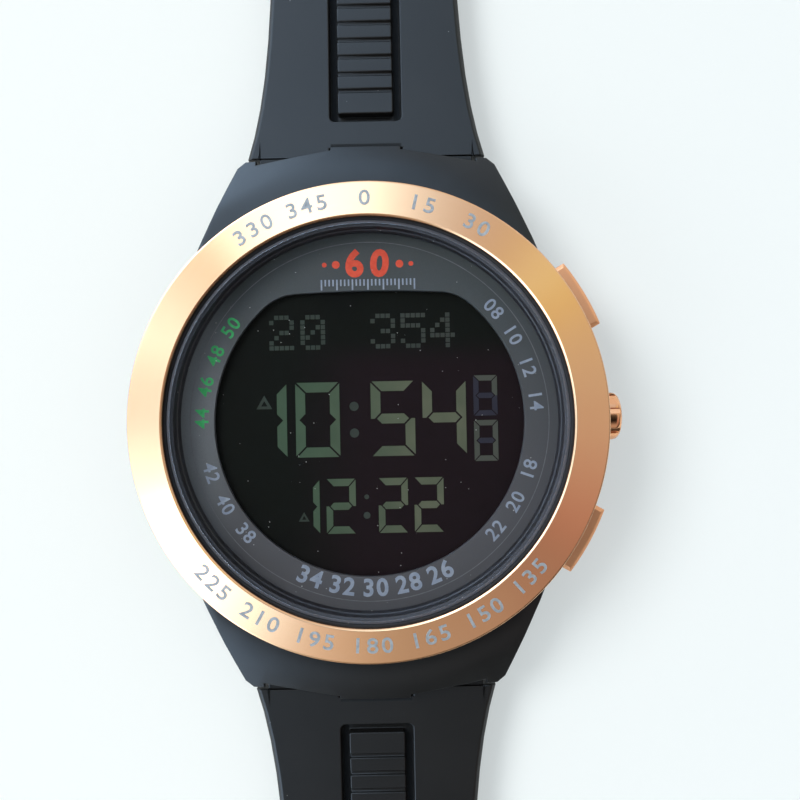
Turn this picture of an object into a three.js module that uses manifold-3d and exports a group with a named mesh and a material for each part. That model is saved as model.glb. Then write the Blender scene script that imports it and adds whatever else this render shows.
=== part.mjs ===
// A digital azan wristwatch laid open on its back: case, bezel, crystal, display module, three
// sprung buttons, and a two-part rubber strap with its buckle and keepers.
// Millimetres. +Z out of the display, +Y to 12 o'clock, +X to 3 o'clock where the buttons are.
// The origin is the centre of the case back's flat face.

import * as THREE from 'three';
import { mergeVertices } from 'three/addons/utils/BufferGeometryUtils.js';
import Module from 'manifold-3d';

const wasm = await Module();
wasm.setup();

// Fits shared by the whole watch
const seatGap = 0.1;
const runningGap = 0.1;
const edgeGap = 0.3;
const cutOverrun = 1;
const weldTolerance = 1e-4;

// Crystal, its gasket, and the bezel round them
const crystalRadius = 21.05;
const crystalThickness = 1.45;
const crystalBevel = 0.35;
const gasketWall = 0.35;
const gasketFootWidth = 0.7;
const gasketFootThickness = 0.3;
const gasketDrop = 0.45;
const neckWall = 0.9;
const bezelReveal = 0.25;
const bezelChamfer = 0.4;
const bezelBand = 2.75;
const bezelHeight = 3.7;
const bezelProud = 0.3;
const bezelSlopeDrop = 1.1;
const bezelEdgeRound = 0.35;
const bezelFitGap = 0.2;

// Case
const bezelOverhang = 1.15;
const caseEdge = 0.5;
const lugGap = 24.7;
const hornWidth = 2.15;
const hornCornerRun = 0.9;
const hornCornerDrop = 0.8;
const hornTipReach = 1.4;
const pivotY = 28.05;
const pivotHeight = 3.4;
const endTabHalfWidth = 3.9;
const endTabReach = 2.65;
const endTabStep = 0.4;
const endTabGap = 0.45;
const endSlant = 1.4;
const lugDrop = 3.4;
const lugDropRun = 7.2;
const lugCrown = 0.35;
const hornUndercut = 3.1;

// Case back, gasket and screws
const backPadRadius = 15;
const backPadDrop = 0.6;
const backFlangeThickness = 1.1;
const backHollow = 0.3;
const backRimLift = 0.3;
const backGasketRadius = 18.7;
const backGasketSection = 0.28;
const screwCircle = 20.15;
const screwHeadRadius = 0.8;
const screwHeadThickness = 0.45;
const screwShankRadius = 0.38;
const screwShankLength = 2.9;
const screwSlotWidth = 0.3;
const screwSlotDepth = 0.2;

// Display module
const moduleRadius = 18;
const moduleLift = 0.5;
const moduleFrameThickness = 3.3;
const boardThickness = 0.8;
const boardInset = 0.2;
const holderHeight = 2.9;
const holderWall = 0.45;
const displayFlatTop = 14.9;
const displayContactLedge = 0.8;
const displayGlassThickness = 0.6;
const filmThickness = 0.1;
const backlightThickness = 0.4;
const windowInset = 1.2;
const windowFlatDrop = 2.3;
const connectorHalfLength = 8;
const connectorDepth = 0.6;
const dialThickness = 0.6;
const apertureRadius = 16.78;
const apertureTop = 13.9;
const apertureTopCrown = 0.15;
const apertureCornerRadius = 5.4;
const flangeRingHeight = 1.4;
const flangeRingFoot = 1.05;
const flangeRingTop = 0.55;
const batteryRadius = 10;
const batteryThickness = 2.5;
const batteryEdge = 0.3;
const batteryX = -4;
const batteryY = 3;
const batteryLid = 0.3;
const clipThickness = 0.2;
const clipHalfLength = 12.4;
const clipHalfWidth = 2;
const clipLegLength = 1.4;
const buzzerRadius = 12;
const buzzerThickness = 0.15;
const ceramicRadius = 9;
const ceramicThickness = 0.12;
const contactX = 6.5;
const contactY = -9;
const contactCoilRadius = 0.8;
const contactWireRadius = 0.15;
const chipRadius = 3.2;
const chipHeight = 0.8;
const chipX = 1;
const chipY = 1.5;
const sensorSide = 3;
const sensorHeight = 0.8;
const sensorX = 8;
const sensorY = 6;
const quartzRadius = 0.45;
const quartzLength = 5.5;
const quartzX = -9;
const quartzY = -4;
const coilRadius = 2.2;
const coilHeight = 0.9;
const coilFlange = 0.15;
const coilWaist = 0.5;
const coilX = 4;
const coilY = -8;

// Buttons
const buttonTravel = 1;
const pusherReach = 3.4;
const pusherDepth = 3.9;
const pusherHalfWidth = 3.9;
const pusherHeight = 5;
const pusherEdge = 0.4;
const crownRadius = 2.7;
const crownReach = 3.6;
const crownFlute = 0.3;
const crownFluteHalfWidth = 0.3;
const crownRound = 0.8;
const stemRadius = 0.75;
const stemTail = 0.6;
const clipGrooveDepth = 0.2;
const clipGrooveWidth = 0.42;
const circlipRadius = 1.4;
const circlipThickness = 0.26;
const circlipBehindWall = 0.5;
const circlipGateHalfWidth = 0.45;
const stemBoreGap = 0.2;
const sealSection = 0.26;
const sealInset = 2;
const springRadius = 1.2;
const springWireRadius = 0.19;
const springPocketRadius = 1.65;
const springPocketDepth = 1.7;
const notchHalfWidth = 1.8;
const notchHalfHeight = 1.7;

// Strap, from the spring bar outwards
const knuckleRadius = 2;
const knuckleEndGap = 0.2;
const pocketGap = 0.35;
const roofGap = 0.15;
const barRadius = 0.9;
const barTipRadius = 0.36;
const barShoulder = 0.5;
const barTipReach = 1.3;
const wingStart = 2;
const shoulderHalfWidth = 13.6;
const bandHalfWidth = 10.35;
const flareLength = 11.5;
const shoulderThickness = 4.5;
const bandThickness = 2.6;
const thinningLength = 12;
const shoulderUnderside = 1.9;
const strapEdge = 0.5;
const buckleHalfLength = 73;
const tailHalfLength = 122;
const strapLift = 1.4;
const floorGap = 0.05;
const settleFrom = 26;
const settleTo = 56;
const tailHalfWidth = 9;
const tailTipLength = 9;
const tailTipHalfWidth = 2.6;
const recessStart = 6.4;
const recessHalfWidth = 4.12;
const recessLength = 38;
const recessDepth = 1.2;
const recessCorner = 0.6;
const panelCorner = 0.25;
const panelGap = 0.95;
const ribFirst = 3.7;
const ribPitch = 2.03;
const ribGroove = 0.45;
const ribDepth = 0.3;
const holeTipInset = 16;
const holePitch = 6.5;
const holeHalfWidth = 1.2;
const holeStraight = 1.2;

// Keepers
const keeperWall = 1.2;
const keeperSideGap = 0.3;
const keeperRoom = 3;
const keeperCorner = 1;
const fixedKeeperLength = 5;
const freeKeeperLength = 4.5;
const fixedKeeperInset = 6;
const freeKeeperInset = 15;

// Buckle
const bucklePinRadius = 0.6;
const buckleKnuckleRadius = 1.5;
const slotHalfWidth = 1.2;
const slotDepth = 3.6;
const armWidth = 2;
const armGap = 0.35;
const earRadius = 1.6;
const pinEndInset = 0.3;
const frameLength = 12;
const frameBar = 2.4;
const frameCorner = 2.6;
const frameHeelDrop = 1.3;
const frameToeTop = -0.2;
const frameToeUnderside = -2.55;
const tongueHalfWidth = 0.85;
const tongueEyeRadius = 1.25;
const tongueThickness = 1;
const tongueOverhang = 0.5;
const tongueTipGap = 0.18;
const tongueArch = 1.45;

// Counts and angles
const pusherAngles = [Math.PI / 6, -Math.PI / 6];
const fineSteps = 60;
const roundSteps = 40;
const hiddenSteps = 30;
const smallSteps = 14;
const tinySteps = 12;
const ringSectionSteps = 6;
const flutes = 7;
const fluteShare = 0.24;
const screwCount = 4;
const ribCount = 14;
const holeCount = 9;
const springTurns = 3;
const contactTurns = 6;
const stepsPerTurn = 6;
const wireSides = 4;
const glassSteps = 14;
const windowSteps = 34;
const windowCornerSteps = 4;
const holeSteps = 3;
const cornerSteps = 3;

// Heights, stacked up from the case back's face
const backFlangeTop = backPadDrop + backFlangeThickness;
const backSeat = backFlangeTop + seatGap;
const backInside = backFlangeTop - backHollow;
const caseBottom = backPadDrop + backRimLift;
const backGrooveTop = backSeat + 2 * backGasketSection + runningGap;
const moduleBottom = backSeat + moduleLift;
const moduleFrameTop = moduleBottom + moduleFrameThickness;
const boardBottom = moduleFrameTop + seatGap;
const boardTop = boardBottom + boardThickness;
const holderBottom = boardTop + seatGap;
const holderTop = holderBottom + holderHeight;
const dialSeat = holderTop + seatGap;
const dialBottom = dialSeat + seatGap;
const dialTop = dialBottom + dialThickness;
const flangeRingBottom = dialTop + seatGap;
const flangeRingTopHeight = flangeRingBottom + flangeRingHeight;
const gasketBottom = flangeRingTopHeight + seatGap;
const crystalBottom = gasketBottom + gasketFootThickness + seatGap;
const crystalTop = crystalBottom + crystalThickness;
const neckTop = crystalTop - gasketDrop;
const bezelTop = crystalTop + bezelProud;
const bezelBottom = bezelTop - bezelHeight;
const caseTop = bezelBottom - seatGap;
const buttonHeight = boardBottom + boardThickness / 2;
const displayTop = holderTop;
const displayBottom = displayTop - 2 * displayGlassThickness;
const displaySeat = displayBottom - seatGap;
const filmTop = displayBottom - seatGap;
const backlightTop = filmTop - filmThickness - seatGap;

// Radii, worked outwards from the crystal
const gasketRadius = crystalRadius + seatGap + gasketWall;
const cavityRadius = gasketRadius + seatGap;
const neckRadius = cavityRadius + neckWall;
const bezelBore = neckRadius + bezelFitGap;
const bezelLip = crystalRadius + bezelReveal;
const bezelRadius = bezelBore + bezelBand;
const caseRadius = bezelRadius - bezelOverhang;
const moduleBore = moduleRadius + 2 * runningGap;
const dialRadius = cavityRadius - 2 * seatGap;
const backRadius = cavityRadius - 2 * seatGap;
const displayRadius = moduleRadius - holderWall - seatGap;
const windowRadius = displayRadius - windowInset;
const windowTop = displayFlatTop - windowFlatDrop;

// Strap joint, from the spring bar's line
const roofUnderside = pivotHeight + knuckleRadius + roofGap;
const pocketWall = pivotY - knuckleRadius - pocketGap;
const hornOutside = lugGap / 2 + hornWidth;
const knuckleHalfLength = lugGap / 2 - knuckleEndGap;

// Materials
function finish(color, roughness, metalness) {
  return new THREE.MeshStandardMaterial({ color, roughness, metalness });
}

const charcoalResin = finish(0x3a3d40, 0.75, 0);
const roseGold = finish(0xc99a72, 0.3, 1);
const mineralGlass = finish(0x9fb0b8, 0.05, 0);
const blackRubber = finish(0x2b2b2a, 0.85, 0);
const greyDial = finish(0x525359, 0.6, 0);
const blackPlastic = finish(0x1d1c20, 0.5, 0);
const displayGlass = finish(0x1c1e19, 0.15, 0);
const whitePlastic = finish(0xdedbd2, 0.6, 0);
const greenBoard = finish(0x1f5a3a, 0.6, 0);
const steel = finish(0xb9bcc0, 0.35, 1);
const brass = finish(0xc2a35a, 0.35, 1);
const sealRubber = finish(0x151515, 0.9, 0);

// Turning a three.js geometry into a solid and back
function signedVolume(points, index) {
  const corner = [new THREE.Vector3(), new THREE.Vector3(), new THREE.Vector3()];
  let volume = 0;
  for (let i = 0; i < index.length; i += 3) {
    for (let k = 0; k < 3; k += 1) {
      corner[k].fromArray(points, 3 * index[i + k]);
    }
    volume += corner[0].dot(corner[1].cross(corner[2])) / 6;
  }
  return volume;
}

function solidOf(geometry) {
  const bare = geometry.index ? geometry.toNonIndexed() : geometry.clone();
  bare.deleteAttribute('normal');
  bare.deleteAttribute('uv');
  const merged = mergeVertices(bare, weldTolerance);
  const points = merged.attributes.position.array;
  const index = [];
  for (let i = 0; i < merged.index.count; i += 3) {
    const face = [merged.index.getX(i), merged.index.getX(i + 1), merged.index.getX(i + 2)];
    if (new Set(face).size === 3) {
      index.push(...face);
    }
  }
  if (signedVolume(points, index) < 0) {
    index.reverse();
  }
  const vertProperties = new Float32Array(points);
  const triVerts = new Uint32Array(index);
  return new wasm.Manifold(new wasm.Mesh({ numProp: 3, vertProperties, triVerts }));
}

function joined(solids) {
  return solids.reduce((whole, piece) => whole.add(piece));
}

function cutBy(solid, cutters) {
  return solid.subtract(joined(cutters));
}

function meshOf(name, solid, material) {
  const { vertProperties, triVerts } = solid.getMesh();
  const geometry = new THREE.BufferGeometry();
  geometry.setAttribute('position', new THREE.BufferAttribute(new Float32Array(vertProperties), 3));
  geometry.setIndex(new THREE.BufferAttribute(new Uint32Array(triVerts), 1));
  geometry.computeVertexNormals();
  const mesh = new THREE.Mesh(geometry, material);
  mesh.name = name;
  return mesh;
}

// A profile of [radius, height] pairs turned about the Z axis, closed on itself or on the axis
function turned(profile, steps, x = 0, y = 0) {
  const points = profile.map(([radius, height]) => new THREE.Vector2(radius, height));
  const open = profile[0][0] > 0 || profile[profile.length - 1][0] > 0;
  if (open) {
    points.push(points[0].clone());
  }
  const geometry = new THREE.LatheGeometry(points, steps);
  geometry.rotateX(Math.PI / 2);
  geometry.translate(x, y, 0);
  return solidOf(geometry);
}

function turnedRing(innerRadius, outerRadius, bottom, top, steps) {
  return turned(
    [[innerRadius, bottom], [outerRadius, bottom], [outerRadius, top], [innerRadius, top]], steps);
}

function disc(radius, bottom, top, steps, x = 0, y = 0) {
  const geometry = new THREE.CylinderGeometry(radius, radius, top - bottom, steps);
  geometry.rotateX(Math.PI / 2);
  geometry.translate(x, y, (top + bottom) / 2);
  return solidOf(geometry);
}

// A ring of round section about the Z axis
function roundRing(radius, section, height, steps, sides) {
  const profile = [];
  for (let k = 0; k < sides; k += 1) {
    const angle = (2 * Math.PI * k) / sides;
    profile.push([radius + section * Math.cos(angle), height + section * Math.sin(angle)]);
  }
  return turned(profile, steps);
}

function block(xFrom, xTo, yFrom, yTo, zFrom, zTo) {
  const geometry = new THREE.BoxGeometry(xTo - xFrom, yTo - yFrom, zTo - zFrom);
  geometry.translate((xFrom + xTo) / 2, (yFrom + yTo) / 2, (zFrom + zTo) / 2);
  return solidOf(geometry);
}

function polygon(points) {
  return new THREE.Shape(points.map(([u, v]) => new THREE.Vector2(u, v)));
}

// An outline drawn in plan and raised from bottom to top
function raised(shape, bottom, top) {
  const geometry = new THREE.ExtrudeGeometry(shape, { depth: top - bottom, bevelEnabled: false });
  geometry.translate(0, 0, bottom);
  return solidOf(geometry);
}

// An outline drawn in the side view, as [y, z], and drawn out along X
function sideways(shape, xFrom, xTo) {
  const geometry = new THREE.ExtrudeGeometry(shape, { depth: xTo - xFrom, bevelEnabled: false });
  const alongX = new THREE.Matrix4().makeBasis(
    new THREE.Vector3(0, 1, 0), new THREE.Vector3(0, 0, 1), new THREE.Vector3(1, 0, 0));
  geometry.applyMatrix4(alongX);
  geometry.translate(xFrom, 0, 0);
  return solidOf(geometry);
}

// A rod along X
function rod(radius, xFrom, xTo, y, z, steps) {
  const geometry = new THREE.CylinderGeometry(radius, radius, xTo - xFrom, steps);
  geometry.rotateZ(Math.PI / 2);
  geometry.translate((xFrom + xTo) / 2, y, z);
  return solidOf(geometry);
}

// Rings of equal count joined side by side, with flat ends
function lofted(rings) {
  const flat = [];
  const push = (...corners) => corners.forEach((corner) => flat.push(corner.x, corner.y, corner.z));
  const count = rings[0].length;
  for (let r = 0; r + 1 < rings.length; r += 1) {
    for (let k = 0; k < count; k += 1) {
      const next = (k + 1) % count;
      push(rings[r][k], rings[r][next], rings[r + 1][next]);
      push(rings[r][k], rings[r + 1][next], rings[r + 1][k]);
    }
  }
  const last = rings[rings.length - 1];
  for (let k = 1; k + 1 < count; k += 1) {
    push(rings[0][0], rings[0][k + 1], rings[0][k]);
    push(last[0], last[k], last[k + 1]);
  }
  const geometry = new THREE.BufferGeometry();
  geometry.setAttribute('position', new THREE.Float32BufferAttribute(flat, 3));
  return solidOf(geometry);
}

// A wound wire, from one height to another about the Z axis
class Winding extends THREE.Curve {
  constructor(radius, from, to, turns) {
    super();
    Object.assign(this, { radius, from, to, turns });
  }

  getPoint(share) {
    const angle = 2 * Math.PI * this.turns * share;
    const height = this.from + (this.to - this.from) * share;
    return new THREE.Vector3(this.radius * Math.cos(angle), this.radius * Math.sin(angle), height);
  }
}

function woundWire(radius, wireRadius, from, to, turns) {
  const section = new THREE.Shape();
  for (let k = 0; k < wireSides; k += 1) {
    const angle = (2 * Math.PI * k) / wireSides;
    const corner = [wireRadius * Math.cos(angle), wireRadius * Math.sin(angle)];
    if (k === 0) {
      section.moveTo(...corner);
    } else {
      section.lineTo(...corner);
    }
  }
  const extrudePath = new Winding(radius, from + wireRadius, to - wireRadius, turns);
  return new THREE.ExtrudeGeometry(section, { steps: turns * stepsPerTurn, extrudePath });
}

// Case outline in plan: a barrel whose sides run straight to four lug corners
function caseOutline() {
  const cornerX = hornOutside;
  const cornerY = pivotY + hornTipReach - hornCornerDrop;
  const reach = Math.hypot(cornerX, cornerY);
  const touch = Math.atan2(cornerY, cornerX) - Math.acos(caseRadius / reach);
  const arcSteps = 12;
  const side = [];
  for (let k = 0; k <= arcSteps; k += 1) {
    const angle = -touch + (2 * touch * k) / arcSteps;
    side.push([caseRadius * Math.cos(angle), caseRadius * Math.sin(angle)]);
  }
  const tipY = pivotY + hornTipReach;
  const tabY = pivotY + endTabReach;
  const end = [
    [cornerX, cornerY],
    [cornerX - hornCornerRun, tipY],
    [lugGap / 2, tipY],
    [lugGap / 2, tabY - endTabStep - endSlant],
    [endTabHalfWidth, tabY - endTabStep],
    [endTabHalfWidth, tabY],
  ];
  const mirrorX = end.map(([x, y]) => [-x, y]).reverse();
  const half = [...side, ...end, ...mirrorX];
  const otherHalf = half.map(([x, y]) => [-x, -y]);
  return polygon([...half, ...otherHalf]);
}

function bodyBlank() {
  const depth = caseTop - caseBottom - 2 * caseEdge;
  const geometry = new THREE.ExtrudeGeometry(caseOutline(), {
    depth, bevelThickness: caseEdge, bevelSize: caseEdge, bevelOffset: -caseEdge, bevelSegments: 1,
  });
  geometry.translate(0, 0, caseBottom + caseEdge);
  return solidOf(geometry);
}

// The shoulder falls away from under the bezel towards the lug tips
function lugSlopeCutter() {
  const far = Math.hypot(hornOutside, pivotY + endTabReach) + cutOverrun;
  const middle = (bezelRadius + bezelRadius + lugDropRun) / 2;
  const slope = lugDrop / lugDropRun;
  const profile = [
    [bezelRadius, caseTop],
    [middle, caseTop - lugDrop / 2 + lugCrown],
    [bezelRadius + lugDropRun, caseTop - lugDrop],
    [far, caseTop - lugDrop - slope * (far - bezelRadius - lugDropRun)],
    [far, caseTop + cutOverrun],
    [bezelRadius, caseTop + cutOverrun],
  ];
  return turned(profile, fineSteps);
}

// Each lug tip is rounded about the spring bar below its line, so that the strap can fold down
function hornTipCutter() {
  const far = pivotY + endTabReach + cutOverrun;
  const shape = new THREE.Shape();
  shape.moveTo(far, pivotHeight);
  shape.lineTo(pivotY + hornTipReach, pivotHeight);
  shape.absarc(pivotY, pivotHeight, hornTipReach, 0, -Math.PI / 2, true);
  shape.lineTo(pivotY - hornUndercut, caseBottom);
  shape.lineTo(pivotY - hornUndercut, caseBottom - cutOverrun);
  shape.lineTo(far, caseBottom - cutOverrun);
  const geometry = new THREE.ExtrudeGeometry(shape, {
    depth: 2 * (hornOutside + cutOverrun), bevelEnabled: false, curveSegments: 5,
  });
  const alongX = new THREE.Matrix4().makeBasis(
    new THREE.Vector3(0, 1, 0), new THREE.Vector3(0, 0, 1), new THREE.Vector3(1, 0, 0));
  geometry.applyMatrix4(alongX);
  geometry.translate(-hornOutside - cutOverrun, 0, 0);
  return solidOf(geometry);
}

function strapPocketCutter() {
  const far = pivotY + endTabReach + cutOverrun;
  const low = caseBottom - cutOverrun;
  const pocket = block(-lugGap / 2, lugGap / 2, pocketWall, far, low, roofUnderside);
  const holeEnd = lugGap / 2 + barTipReach + runningGap;
  const hole = rod(barTipRadius + runningGap, -holeEnd, holeEnd, pivotY, pivotHeight, tinySteps);
  return pocket.add(hole);
}

function turnedAboutZ(solid, angle) {
  return solid.rotate([0, 0, (angle * 180) / Math.PI]);
}

function cavityCutter() {
  const low = caseBottom - cutOverrun;
  const high = neckTop + cutOverrun;
  const profile = [
    [0, low],
    [cavityRadius, low],
    [cavityRadius, backSeat],
    [moduleBore, backSeat],
    [moduleBore, dialSeat],
    [cavityRadius, dialSeat],
    [cavityRadius, high],
    [0, high],
  ];
  return turned(profile, roundSteps);
}

function backGrooveCutter() {
  const half = backGasketSection + runningGap;
  const inner = backGasketRadius - half;
  const outer = backGasketRadius + half;
  return turnedRing(inner, outer, backSeat - seatGap / 2, backGrooveTop, hiddenSteps);
}

// Places along a button's own axis, from the watch's centre outwards
const pocketFloor = caseRadius + pusherReach - pusherDepth - buttonTravel - 2 * runningGap;
const capInside = pocketFloor + buttonTravel + 2 * runningGap;
const springSeat = pocketFloor - springPocketDepth;
const clipOuterFace = moduleBore - circlipBehindWall;
const clipInnerFace = clipOuterFace - circlipThickness;
const stemEnd = clipInnerFace - stemTail;
const sealPlace = moduleBore + sealInset;
const notchFloor = stemEnd - buttonTravel - edgeGap;

function pushButtonCutter(capCutter, angle) {
  const far = caseRadius + cutOverrun;
  const near = moduleBore - cutOverrun;
  const sealHalf = sealSection + runningGap / 2;
  const sealGroove = stemRadius + 2 * sealSection + runningGap;
  const whole = joined([
    rod(stemRadius + stemBoreGap, near, far, 0, buttonHeight, tinySteps),
    rod(sealGroove, sealPlace - sealHalf, sealPlace + sealHalf, 0, buttonHeight, tinySteps),
    rod(springPocketRadius, springSeat, far, 0, buttonHeight, tinySteps),
    capCutter,
  ]);
  return turnedAboutZ(whole, angle);
}

function pusherPocketCutter() {
  const half = pusherHalfWidth + edgeGap;
  const halfHeight = pusherHeight / 2 + edgeGap;
  const far = caseRadius + cutOverrun;
  return block(pocketFloor, far, -half, half, buttonHeight - halfHeight, buttonHeight + halfHeight);
}

function crownPocketCutter() {
  const far = caseRadius + cutOverrun;
  return rod(crownRadius + edgeGap, pocketFloor, far, 0, buttonHeight, roundSteps / 2);
}

function screwPlaces() {
  const places = [];
  for (let k = 0; k < screwCount; k += 1) {
    const angle = (2 * Math.PI * (k + 1 / 2)) / screwCount;
    places.push([screwCircle * Math.cos(angle), screwCircle * Math.sin(angle)]);
  }
  return places;
}

function caseBody() {
  const neck = turnedRing(moduleBore, neckRadius, caseTop - caseEdge, neckTop, roundSteps);
  const blank = bodyBlank().subtract(lugSlopeCutter()).add(neck);
  const ends = joined([strapPocketCutter(), hornTipCutter()]);
  const bores = [
    ...pusherAngles.map((angle) => pushButtonCutter(pusherPocketCutter(), angle)),
    pushButtonCutter(crownPocketCutter(), 0),
  ];
  const holeTop = backSeat + screwShankLength;
  const holes = screwPlaces().map(([x, y]) =>
    disc(screwShankRadius + runningGap, backSeat - seatGap, holeTop, tinySteps, x, y));
  return cutBy(blank, [
    ends, turnedAboutZ(ends, Math.PI), cavityCutter(), backGrooveCutter(), ...bores, ...holes,
  ]);
}

function bezelRing() {
  const lipUnderside = neckTop + seatGap;
  const crest = bezelLip + bezelChamfer;
  const shoulder = bezelTop - bezelSlopeDrop;
  const profile = [
    [bezelBore, bezelBottom],
    [bezelRadius - bezelEdgeRound / 2, bezelBottom],
    [bezelRadius, bezelBottom + bezelEdgeRound / 2],
    [bezelRadius, shoulder - bezelEdgeRound],
    [bezelRadius - bezelEdgeRound / 3, shoulder - bezelEdgeRound / 4],
    [bezelRadius - bezelEdgeRound, shoulder],
    [(crest + bezelRadius - bezelEdgeRound) / 2, (bezelTop + shoulder) / 2 + bezelEdgeRound / 4],
    [crest, bezelTop],
    [bezelLip, bezelTop - bezelChamfer],
    [bezelLip, lipUnderside],
    [bezelBore, lipUnderside],
  ];
  return turned(profile, fineSteps);
}

function crystalDisc() {
  const profile = [
    [0, crystalBottom],
    [crystalRadius, crystalBottom],
    [crystalRadius, crystalTop - crystalBevel],
    [crystalRadius - crystalBevel, crystalTop],
    [0, crystalTop],
  ];
  return turned(profile, fineSteps);
}

function crystalGasket() {
  const footTop = gasketBottom + gasketFootThickness;
  const profile = [
    [gasketRadius - gasketFootWidth, gasketBottom],
    [gasketRadius, gasketBottom],
    [gasketRadius, neckTop],
    [gasketRadius - gasketWall, neckTop],
    [gasketRadius - gasketWall, footTop],
    [gasketRadius - gasketFootWidth, footTop],
  ];
  return turned(profile, roundSteps);
}

// The dark ring that slopes from the crystal down to the dial
function flangeRing() {
  const outer = cavityRadius - 2 * seatGap;
  const profile = [
    [outer - flangeRingFoot, flangeRingBottom],
    [outer, flangeRingBottom],
    [outer, flangeRingTopHeight],
    [outer - flangeRingTop, flangeRingTopHeight],
  ];
  return turned(profile, roundSteps);
}

// The display window: a circle whose top is a slightly crowned line with large round corners
function apertureOutline() {
  const rise = apertureTop - apertureCornerRadius;
  const run = Math.sqrt((apertureRadius - apertureCornerRadius) ** 2 - rise ** 2);
  const turn = Math.atan2(rise, run);
  const outline = [];
  const sweep = (x, y, radius, from, to, steps) => {
    for (let k = 0; k < steps; k += 1) {
      const angle = from + ((to - from) * k) / steps;
      outline.push([x + radius * Math.cos(angle), y + radius * Math.sin(angle)]);
    }
  };
  sweep(0, 0, apertureRadius, -Math.PI - turn, turn, windowSteps);
  sweep(run, rise, apertureCornerRadius, turn, Math.PI / 2, windowCornerSteps);
  outline.push([run, apertureTop], [0, apertureTop + apertureTopCrown]);
  sweep(-run, rise, apertureCornerRadius, Math.PI / 2, Math.PI - turn, windowCornerSteps);
  return polygon(outline);
}

function dialPlate() {
  const plate = disc(dialRadius, dialBottom, dialTop, roundSteps);
  return plate.subtract(raised(apertureOutline(), dialBottom - cutOverrun, dialTop + cutOverrun));
}

// A disc with a flat top edge, as the display glass and all that lies under it have
function flatTopped(radius, flat, bottom, top) {
  const start = Math.asin(flat / radius);
  const shape = new THREE.Shape();
  shape.absarc(0, 0, radius, Math.PI - start, 2 * Math.PI + start, false);
  const points = shape.getPoints(glassSteps);
  return raised(new THREE.Shape(points), bottom, top);
}

function displayPanel() {
  const step = displayBottom + displayGlassThickness;
  const lower = flatTopped(displayRadius, displayFlatTop + displayContactLedge, displayBottom, step);
  const upper = flatTopped(displayRadius, displayFlatTop, step, displayTop);
  return lower.add(upper);
}

function reflectorFilm() {
  const inset = seatGap + runningGap;
  return flatTopped(windowRadius - inset, windowTop - inset, filmTop - filmThickness, filmTop);
}

function backlightPanel() {
  const inset = seatGap + runningGap;
  const bottom = backlightTop - backlightThickness;
  return flatTopped(windowRadius - inset, windowTop - inset, bottom, backlightTop);
}

// The contact strip stands between the board and the display glass's ledge
const connectorY = displayFlatTop + displayContactLedge - seatGap - connectorDepth;

function contactStrip() {
  const half = connectorHalfLength;
  return block(-half, half, connectorY, connectorY + connectorDepth, holderBottom, displaySeat);
}

// Room in the module for the three button stems and their clips
function stemNotches() {
  const far = moduleRadius + cutOverrun;
  const low = buttonHeight - notchHalfHeight;
  const high = buttonHeight + notchHalfHeight;
  const notch = block(notchFloor, far, -notchHalfWidth, notchHalfWidth, low, high);
  return joined([0, ...pusherAngles].map((angle) => turnedAboutZ(notch, angle)));
}

function displayHolder() {
  const low = holderBottom - cutOverrun;
  const high = holderTop + cutOverrun;
  const pocketRadius = displayRadius + seatGap;
  const pocketTop = displayFlatTop + displayContactLedge + seatGap;
  const stripHalf = connectorHalfLength + seatGap;
  const stripFar = connectorY + connectorDepth + seatGap;
  return cutBy(disc(moduleRadius, holderBottom, holderTop, hiddenSteps), [
    flatTopped(windowRadius, windowTop, low, high),
    flatTopped(pocketRadius, pocketTop, displaySeat, high),
    block(-stripHalf, stripHalf, connectorY - seatGap, stripFar, low, high),
    stemNotches(),
  ]);
}

function circuitBoard() {
  const radius = moduleRadius - boardInset;
  const board = disc(radius, boardBottom, boardTop, hiddenSteps);
  const keyHalf = notchHalfWidth / 2;
  const key = block(-keyHalf, keyHalf, -radius - cutOverrun, -radius + keyHalf, boardBottom - cutOverrun,
    boardTop + cutOverrun);
  return cutBy(board, [stemNotches(), key]);
}

function moduleFrame() {
  const blank = disc(moduleRadius, moduleBottom, moduleFrameTop, hiddenSteps);
  const low = moduleBottom - cutOverrun;
  const high = moduleFrameTop + cutOverrun;
  const batteryBore = batteryRadius + runningGap + seatGap;
  const contactBore = contactCoilRadius + contactWireRadius + edgeGap;
  const legHalf = clipHalfWidth + seatGap;
  const legEnd = clipHalfLength + seatGap;
  const leg = block(
    batteryX - legEnd, batteryX + legEnd, batteryY - legHalf, batteryY + legHalf,
    low, moduleBottom + clipLegLength + seatGap);
  return cutBy(blank, [
    disc(batteryBore, low, moduleFrameTop - batteryLid, hiddenSteps, batteryX, batteryY),
    disc(contactBore, low, high, smallSteps, contactX, contactY),
    leg,
    stemNotches(),
  ]);
}

function coinCell() {
  const top = moduleFrameTop - batteryLid - seatGap;
  const bottom = top - batteryThickness;
  const profile = [
    [0, bottom],
    [batteryRadius - 2 * batteryEdge, bottom],
    [batteryRadius - 2 * batteryEdge, bottom + batteryEdge],
    [batteryRadius, bottom + batteryEdge],
    [batteryRadius, top - batteryEdge],
    [batteryRadius - batteryEdge, top],
    [0, top],
  ];
  return turned(profile, hiddenSteps, batteryX, batteryY);
}

// A sprung steel strap whose bent legs hook into the module frame and hold the cell in
function batteryClip() {
  const cellBottom = moduleFrameTop - batteryLid - seatGap - batteryThickness;
  const low = cellBottom - seatGap - clipThickness;
  const bar = block(
    batteryX - clipHalfLength, batteryX + clipHalfLength, batteryY - clipHalfWidth,
    batteryY + clipHalfWidth, low, low + clipThickness);
  const legs = [-1, 1].map((side) => {
    const end = batteryX + side * clipHalfLength;
    const inner = end - side * clipThickness;
    return block(
      Math.min(end, inner), Math.max(end, inner), batteryY - clipHalfWidth, batteryY + clipHalfWidth,
      low, moduleBottom + clipLegLength);
  });
  return joined([bar, ...legs]);
}

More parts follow.
